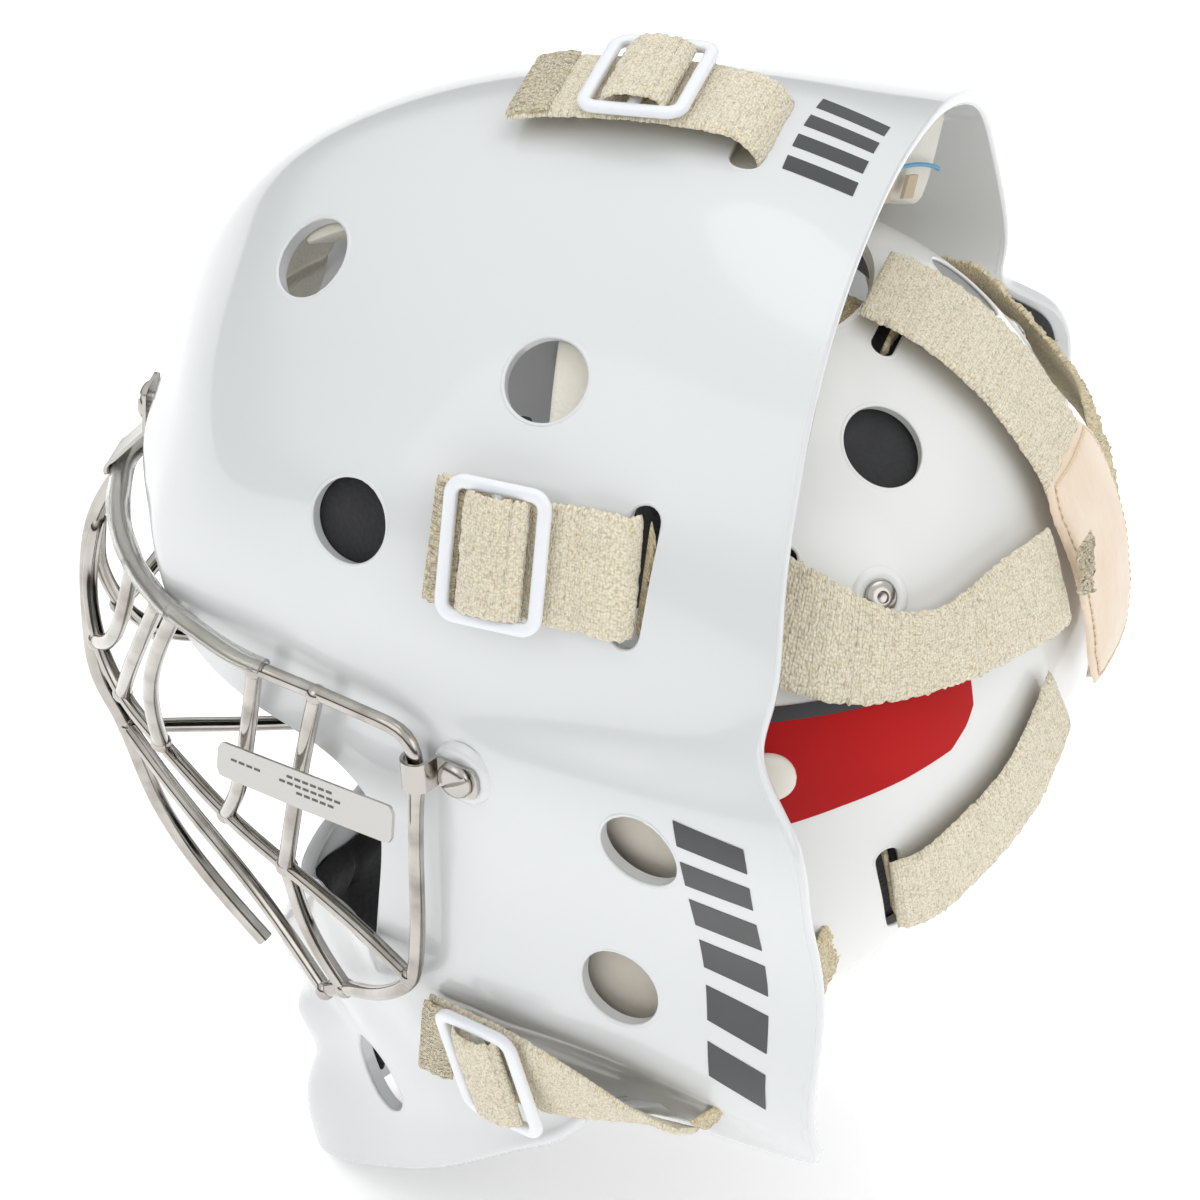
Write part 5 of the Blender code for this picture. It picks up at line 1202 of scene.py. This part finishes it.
for s, sd in ((1, "L"), (-1, "R")):
    flip3 = np.array([s, 1, 1])
    q, nn = on_form((101.5, 37.5, 74))
    hi, lo = surface_edges([(94.5, -18, 74), (96.5, -8, 74), (98.3, 4, 74), (100.2, 17, 74), (101.2, 27, 74)], [1.6, 1.6, 1.6, 1.7, 2.2], STRAP_W, s,
                           [(q + nn * 1.4 + np.array([0, -2.6, 0]), (0.93, 0.25, 0.28)), (q - nn * 2.6 + np.array([0, -0.4, 0]), (0.35, 0.9, 0.1))])
    up_, dn_ = (hi, lo) if hi[0][2] > lo[0][2] else (lo, hi)
    hi, lo = curve_points(up_[2:], 61), curve_points(dn_[6:], 61)
    main = band(f"temple_band_{sd}", hi, lo, STRAP_T, m_strap.m, ("dir", (s, 0.0, 0.2)), 13)
    off_t = np.cross(hi[0] - lo[0], hi[4] - hi[0])
    off_t *= np.sign(off_t[0] * s) / np.linalg.norm(off_t)
    hi, lo = hi[:10:3] + off_t * 2.3, lo[:10:3] + off_t * 2.3
    fold = band(f"temple_tail_{sd}", hi, lo, 1.7, m_tail.m, ("dir", (s, -0.2, 0.2)), 14)
    place(merge(f"temple_strap_fine_{sd}", [main, fold]), "mask", "strap", f"temple_strap_{sd}")
    q, nn = on_form((98.3, 5, 74))
    slider_fine(f"temple_{sd}", q * flip3, nn * flip3, np.array([0.13 * s, 1, 0.02]), 28, 37, 4.9)
    mid = np.array([(77.5, -22, -82), (81.5, -12.5, -82), (87.0, 0, -81.7), (90.5, 12, -83.0), (92.7, 27, -84.6), (93.6, 39.5, -86.3), (94.5, 50, -87.5)])
    acr = np.array([(0.36, 0.16, 0.915), (0.38, 0.14, 0.915), (0.385, 0.138, 0.915), (0.45, 0.12, 0.88), (0.62, 0.06, 0.78), (0.78, 0.0, 0.62), (0.84, -0.02, 0.54)])
    wid = np.array([31, 31, 31, 31, 28, 24, 20]) / 2
    acr /= np.linalg.norm(acr, axis=1, keepdims=True)
    hi, lo = mid + acr * wid[:, None], mid - acr * wid[:, None]
    up = np.max([rise(p, 1.5) for p in (hi, mid, lo)], axis=0)[:, None] * OUT
    hi, lo = hi + up, lo + up
    main = band(f"chin_band_{sd}", hi * flip3, lo * flip3, STRAP_T, m_strap.m, (0, 0, -60), 15)
    t3 = np.array([0, 0.45, 1.0])
    al = (hi[3] + lo[3]) / 2 - (hi[1] + lo[1]) / 2
    nn = np.cross(al, acr[2])
    nn /= np.linalg.norm(nn)
    nn = -nn if nn[0] < 0 else nn
    hh = np.array([hi[0] + (hi[1] - hi[0]) * k for k in t3]) + nn * 2.5
    ll = np.array([lo[0] + (lo[1] - lo[0]) * k for k in t3]) + nn * 2.5
    fold = band(f"chin_tail_{sd}", hh * flip3, ll * flip3, 1.6, m_tail.m, (0, 0, -60), 16)
    place(merge(f"chin_strap_fine_{sd}", [main, fold]), "mask", "strap", f"chin_strap_{sd}")
    c = (hi[2] + lo[2]) / 2
    slider_fine(f"chin_{sd}", (c + nn * 1.0) * flip3, nn * flip3, al * flip3, 26, 37, 3.0)


# ------------------------------------------------------------------ harness behind
line = [on_dome(0, e, g) for e, g in ((66, 2.2), (60.5, 3.6), (56, 4.2), (49.5, 4.2), (42.5, 4.0), (37.5, 4.0), (33.5, 4.4), (29.5, 3.6))]
place(band("harness_top_fine", [(14.5, p[1], p[2]) for p in line], [(-17.0, p[1], p[2]) for p in line], STRAP_T, m_strap.m, PLATE_C, 21), "backplate", "strap", "harness_top")
for s, sd in ((1, "L"), (-1, "R")):
    up = [on_dome(60.4 * s, 37, 1.6)] + [on_dome(a * s, e, 5) for a, e in ((56, 34), (51, 30.5), (46, 27.5), (41, 26), (35, 26), (26, 27.5), (18.5, 27.5), (12 if s == 1 else 15, 27))]
    dn = [on_dome(67.0 * s, 20.5, 1.6)] + [on_dome(a * s, e, 5) for a, e in ((60, 18.5), (54, 16.5), (45.5, 15.5), (37, 15), (27.5, 14.5), (22, 14), (18, 13.5), (12.3 if s == 1 else 15, 13))]
    place(band(f"harness_mid_fine_{sd}", up, dn, STRAP_T, (m_strap if s == 1 else m_loopy).m, PLATE_C, 22, nub=0.10 if s == 1 else 0.3), "backplate", "strap", f"harness_mid_{sd}")
    top = [on_dome(a, e, g) for a, e, g in ((47.8, -9.9, 1.6), (44.2, -8.6, 3.4), (38.1, -5.2, 4), (30.8, -1.6, 4), (24.2, 3, 3.4), (17.5, 8.0, 2.6))]
    bot = [on_dome(a, e, g) for a, e, g in ((42.5, -26.5, 1.6), (37.5, -26, 3.4), (31, -22, 4), (24, -18, 4), (17, -13, 3.4), (10.5, -4.5, 2.6))]
    place(band(f"harness_low_fine_{sd}", [(p[0] * s, p[1], p[2]) for p in top], [(p[0] * s, p[1], p[2]) for p in bot], STRAP_T, m_strap.m, PLATE_C, 23), "backplate", "strap", f"harness_low_{sd}")
fray = band("patch_fray", [(17, 129, 52), (17, 130, 44), (17.5, 130.5, 36)], [(23, 127.5, 50), (24.8, 128, 44), (22.5, 128, 37)], 1.3, m_tail.m, ("dir", (0.3, 1, 0)), 27, fray=0.7, nub=0.2)
place(fray, "backplate", "strap")
zz = np.array([62, 55, 46.8, 35.6, 25, 15, 5])
yy = np.array([117.7, 121.4, 124.9, 128.4, 130.2, 130.9, 130.6])
hw = np.array([15, 20.0, 20.5, 20.5, 20, 19, 14])
zs = np.linspace(0, 1, 73)
st = curve_points(np.stack([hw, yy, zz], 1), 73)
st[:, 0] += lumps(73, 1, 0.12, 5, 0)[:, 0]
W1 = np.linspace(-1, 1, 53)
patch = np.array([[(w * h - 2.5, y - 0.004 * (w * h) ** 2, z) for w in W1] for h, y, z in st])
dull = np.minimum.outer(np.clip((1 - np.abs(np.linspace(-1, 1, 73))) * 8, 0, 1), np.clip((1 - np.abs(W1)) * 7, 0, 1))
seam = np.exp(-((np.minimum.outer((1 - np.abs(np.linspace(-1, 1, 73))) * 30, (1 - np.abs(W1)) * 20) - 2.3) / 0.55) ** 2)
th = 0.5 + 1.1 * np.sqrt(dull) - 0.42 * seam + lumps(73, 53, 0.05, 6, 2)
face = patch + np.array([0, 1, 0.2]) * th[..., None]
pobs = [slab("patch_body", face, patch, m_patch.m, sharp=80)]
ringi = []
for t in np.linspace(-0.86, 0.86, 30):
    ringi.append((-0.93, t))
ring_uv = [(a, -0.88) for a in np.linspace(-0.92, 0.92, 26)] + [(0.92, b_) for b_ in np.linspace(-0.84, 0.84, 24)] + [(a, 0.88) for a in np.linspace(0.92, -0.92, 26)] + [(-0.92, b_) for b_ in np.linspace(0.84, -0.84, 24)]


def at_patch(u, v):
    i, j = (u + 1) / 2 * 72, (v + 1) / 2 * 52
    i0, j0 = int(min(71, i)), int(min(51, j))
    return face[i0, j0] + (face[i0 + 1, j0] - face[i0, j0]) * (i - i0) + (face[i0, j0 + 1] - face[i0, j0]) * (j - j0)


for i in range(len(ring_uv)):
    a, b = np.array(ring_uv[i]), np.array(ring_uv[(i + 1) % len(ring_uv)])
    p0, p1 = at_patch(*(a + (b - a) * 0.12)), at_patch(*(a + (b - a) * 0.82))
    if np.linalg.norm(p1 - p0) > 6:
        continue
    nrm = np.array([0, 1, 0.2])
    pts = [p0 + (p1 - p0) * t + nrm * (0.1 + 0.34 * math.sin(math.pi * t)) for t in np.linspace(0, 1, 6)]
    pobs.append(sweep(f"stitch_{i}", pts, nrm, oval(0.28, 0.22, 8), m_thread.m, sharp=80))
place(merge("patch_fine", pobs), "backplate", "patch", "harness_patch")

# sticker: plain red with a black band along its top edge
A, E = np.meshgrid(np.linspace(0, 1, 61), np.linspace(0, 1, 21), indexing="ij")
lo_e = np.interp(A[:, 0], [0, 0.043, 0.13, 0.36, 0.64, 0.85, 0.9, 1], [9.5, 7, 4.3, 2.6, 1.0, -0.5, 2, 4])
hi_e = np.interp(A[:, 0], [0, 1], [17.0, 17.0])
AZ = 33 + 34.5 * A
EL = lo_e[:, None] + (hi_e - lo_e)[:, None] * E
ob = slab("sticker_fine", dome(AZ, EL, PLATE_R + 0.28), dome(AZ, EL, PLATE_R + 0.05), m_red.m)
topb = slab("sticker_band", dome(AZ, 14.9 + 2.1 * E, PLATE_R + 0.36), dome(AZ, 14.9 + 2.1 * E, PLATE_R + 0.1), m_dark.m)
place(merge("sticker_all", [ob, topb]), "backplate", "red", "backplate_sticker")
# cream lug over the sticker's front end
S, W = np.meshgrid(np.linspace(0, 1, 41), np.linspace(-1, 1, 33), indexing="ij")
wide = 3.6 * np.sqrt(np.clip(1 - np.clip((S - 0.55) / 0.45, 0, 1) ** 2.2, 0.0004, 1)) * (1.12 - 0.12 * np.clip(S / 0.5, 0, 1))
crest = 0.5 + 2.3 * np.sqrt(np.clip(1 - np.abs(W) ** 2.4, 0, 1)) * np.sqrt(np.clip(1 - np.clip((S - 0.5) / 0.5, 0, 1) ** 2.2, 0, 1))
LA, LE = 71 - 9.6 * S, 6.6 + 0.4 * np.sin(3 * S) + wide * W
place(slab("sticker_lug", dome(LA, LE, PLATE_R + crest), dome(LA, LE, PLATE_R + 0.06), m_lug.m), "backplate", "plate")


# ------------------------------------------------------------------ inner runs of band, shell to backplate
def run(name, hi, lo, seed):
    o = band(name, hi, lo, 1.9, m_loopy.m, PLATE_C, seed, nub=0.16)
    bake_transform(o)
    PIECES.append(o)
    return o


def slot_ends(sl, s, g):
    return (np.array(dome(sl[1][0] * s, sl[1][1], PLATE_R + g)), np.array(dome(sl[0][0] * s, sl[0][1], PLATE_R + g)))


for s, sd in ((1, "L"), (-1, "R")):
    f = np.array([s, 1, 1])
    q, nn = on_form((101.5, 37.5, 74))
    ax = np.array([5, -2.5, -29.0])
    ax /= np.linalg.norm(ax)
    c0 = q - nn * 4.0 + np.array([0, 1.0, 0])
    c1 = q - nn * 5.5 + np.array([0, 9, -1])
    h2, l2 = slot_ends(MID_SLOT, 1, -1.5)
    h1, l1 = slot_ends(MID_SLOT, 1, -5.0)
    hi = np.array([c0 - ax * 15, (97, 43.5, 72), (91, 49, 57), (82, 57, 57), h1, h2]) * f
    lo = np.array([c0 + ax * 15, (94, 43.5, 44), (90, 49, 32), (84, 56, 31), l1, l2]) * f
    run(f"inner_band_temple_{sd}", hi, lo, 41)
    e0, e1 = np.array([102.5, 52, -80.0]), np.array([86.0, 51, -93.0])
    h2, l2 = slot_ends(LOW_SLOT, 1, -1.5)
    h1, l1 = slot_ends(LOW_SLOT, 1, -6.0)
    e0b, e1b = np.array([100, 62, -72.0]), np.array([86.0, 60, -86.0])
    hi = np.array([e0, e0b, e0b * 0.45 + h1 * 0.55, h1, h2]) * f
    lo = np.array([e1, e1b, e1b * 0.45 + l1 * 0.55, l1, l2]) * f
    run(f"inner_band_chin_{sd}", hi, lo, 43)
p = [(0, 43.3, 138.6), (0, 43.6, 131), (0, 45, 118), (0, 48, 104), (0, 55, 92)]
pe = np.array(on_dome(0, 61, -9))
pf = np.array(on_dome(0, 61, -1.5))
mid = np.array([*p, pe, pf], float)
run("inner_band_crown", mid + np.array([15, 0, 0]), mid - np.array([15, 0, 0]), 45)


# ------------------------------------------------------------------ small things
def bars(name, rows_, c0, c1, slant, mat):
    """Plain printed bars on the shell, each a (start row, end row) pair."""
    parts = []
    for n_i, (a, b) in enumerate(rows_):
        top_, low_ = [], []
        for u_ in np.linspace(0, 1, 7):
            ra, rb = [], []
            for v_ in np.linspace(0, 1, 15):
                r_i, c_i = a + (b - a) * u_ + slant * (v_ - 0.5), c0 + (c1 - c0) * v_
                P_i, N_i = form([r_i], [c_i])[0, 0], form_normal([r_i], [c_i])[0, 0]
                ra.append(P_i + N_i * 0.16)
                rb.append(P_i + N_i * 0.05)
            top_.append(ra)
            low_.append(rb)
        parts.append(slab(f"{name}_{n_i}", top_, low_, mat))
    return parts


jaw_rows = [(8.22, 8.5), (8.68, 8.96), (9.12, 9.4), (9.56, 9.84), (10.0, 10.28), (10.44, 10.72)]
left_bars = bars("jaw_bar", jaw_rows, 7.18, 7.66, 0.12, m_ink.m)
right_bars = []
for o in left_bars:
    c_ = o.copy()
    c_.data = o.data.copy()
    COL.objects.link(c_)
    for v in c_.data.vertices:
        v.co.x = -v.co.x
    c_.data.flip_normals()
    right_bars.append(c_)
place(merge("jaw_bars", left_bars + right_bars), "mask", "shell")
place(merge("crown_bars", bars("crown_bar", [(-0.86, -0.62), (-0.44, -0.2), (-0.02, 0.22), (0.4, 0.64)], 7.4, 7.84, 0.1, m_ink.m)), "mask", "shell")


# ------------------------------------------------------------------ floor, light, camera
floor_z = -0.1736
bpy.ops.mesh.primitive_plane_add(size=30, location=(0, 0, floor_z))
floor = bpy.context.object
floor.name = "floor"
m_floor = Mat("floor_pale", (0.97, 0.97, 0.97, 1), 0.6)
m_floor.p.inputs["Emission Color"].default_value = (1, 1, 1, 1)
m_floor.p.inputs["Emission Strength"].default_value = 0.35
m_floor.rough(m_floor.noise(2.0, 2), 0.55, 0.65)
floor.data.materials.append(m_floor.m)
world = bpy.data.worlds.new("studio")
bpy.context.scene.world = world
world.use_nodes = True
wt = world.node_tree
geo = wt.nodes.new("ShaderNodeTexCoord")
sep = wt.nodes.new("ShaderNodeSeparateXYZ")
wt.links.new(geo.outputs["Generated"], sep.inputs[0])
sky = wt.nodes.new("ShaderNodeValToRGB")
e = sky.color_ramp.elements
for x_ in (0.3, 0.6):
    e.new(x_)
for el_, (pos, v) in zip(e, ((0.0, 0.03), (0.2, 0.13), (0.34, 0.86), (0.75, 0.95))):
    el_.position = pos
    el_.color = (v * 0.985, v * 0.995, v, 1)
wt.links.new(sep.outputs["Z"], sky.inputs["Fac"])
wt.links.new(sky.outputs["Color"], wt.nodes["Background"].inputs["Color"])
wt.nodes["Background"].inputs["Strength"].default_value = 1.0


def area(name, loc, target, size, power, color=(1, 1, 1)):
    li = bpy.data.lights.new(name, "AREA")
    li.shape = "DISK"
    li.size = size
    li.energy = power
    li.color = color
    ob = bpy.data.objects.new(name, li)
    ob.location = loc
    ob.rotation_euler = (Vector(target) - Vector(loc)).to_track_quat("-Z", "Y").to_euler()
    COL.objects.link(ob)
    return ob


area("key", (1.4, -0.9, 1.5), (0, 0, 0), 1.6, 5)
area("fill", (0.9, 1.8, 1.0), (0, 0, 0), 1.4, 4.4)
area("top", (-0.4, 0.5, 2.2), (0, 0, 0), 1.8, 9)

b3, r3, u3 = Vector((0.815, 0.234, 0.530)), Vector((-0.276, 0.961, 0.0)), Vector((-0.509, -0.146, 0.848))
az, el = math.radians(106.0), math.radians(32.0)
b3 = Vector((math.sin(az) * math.cos(el), -math.cos(az) * math.cos(el), math.sin(el)))
r3 = Vector((math.cos(az), math.sin(az), 0.0))
u3 = b3.cross(r3)
cam_data = bpy.data.cameras.new("camera")
cam_data.lens = 360
cam_data.sensor_width = 36
cam_data.clip_end = 100
cam = bpy.data.objects.new("camera", cam_data)
mw = Matrix((r3, u3, b3)).transposed().to_4x4()
mw.translation = b3 * 3.0
cam.matrix_world = mw
COL.objects.link(cam)
bpy.context.scene.camera = cam
bpy.context.scene.view_settings.view_transform = "Standard"
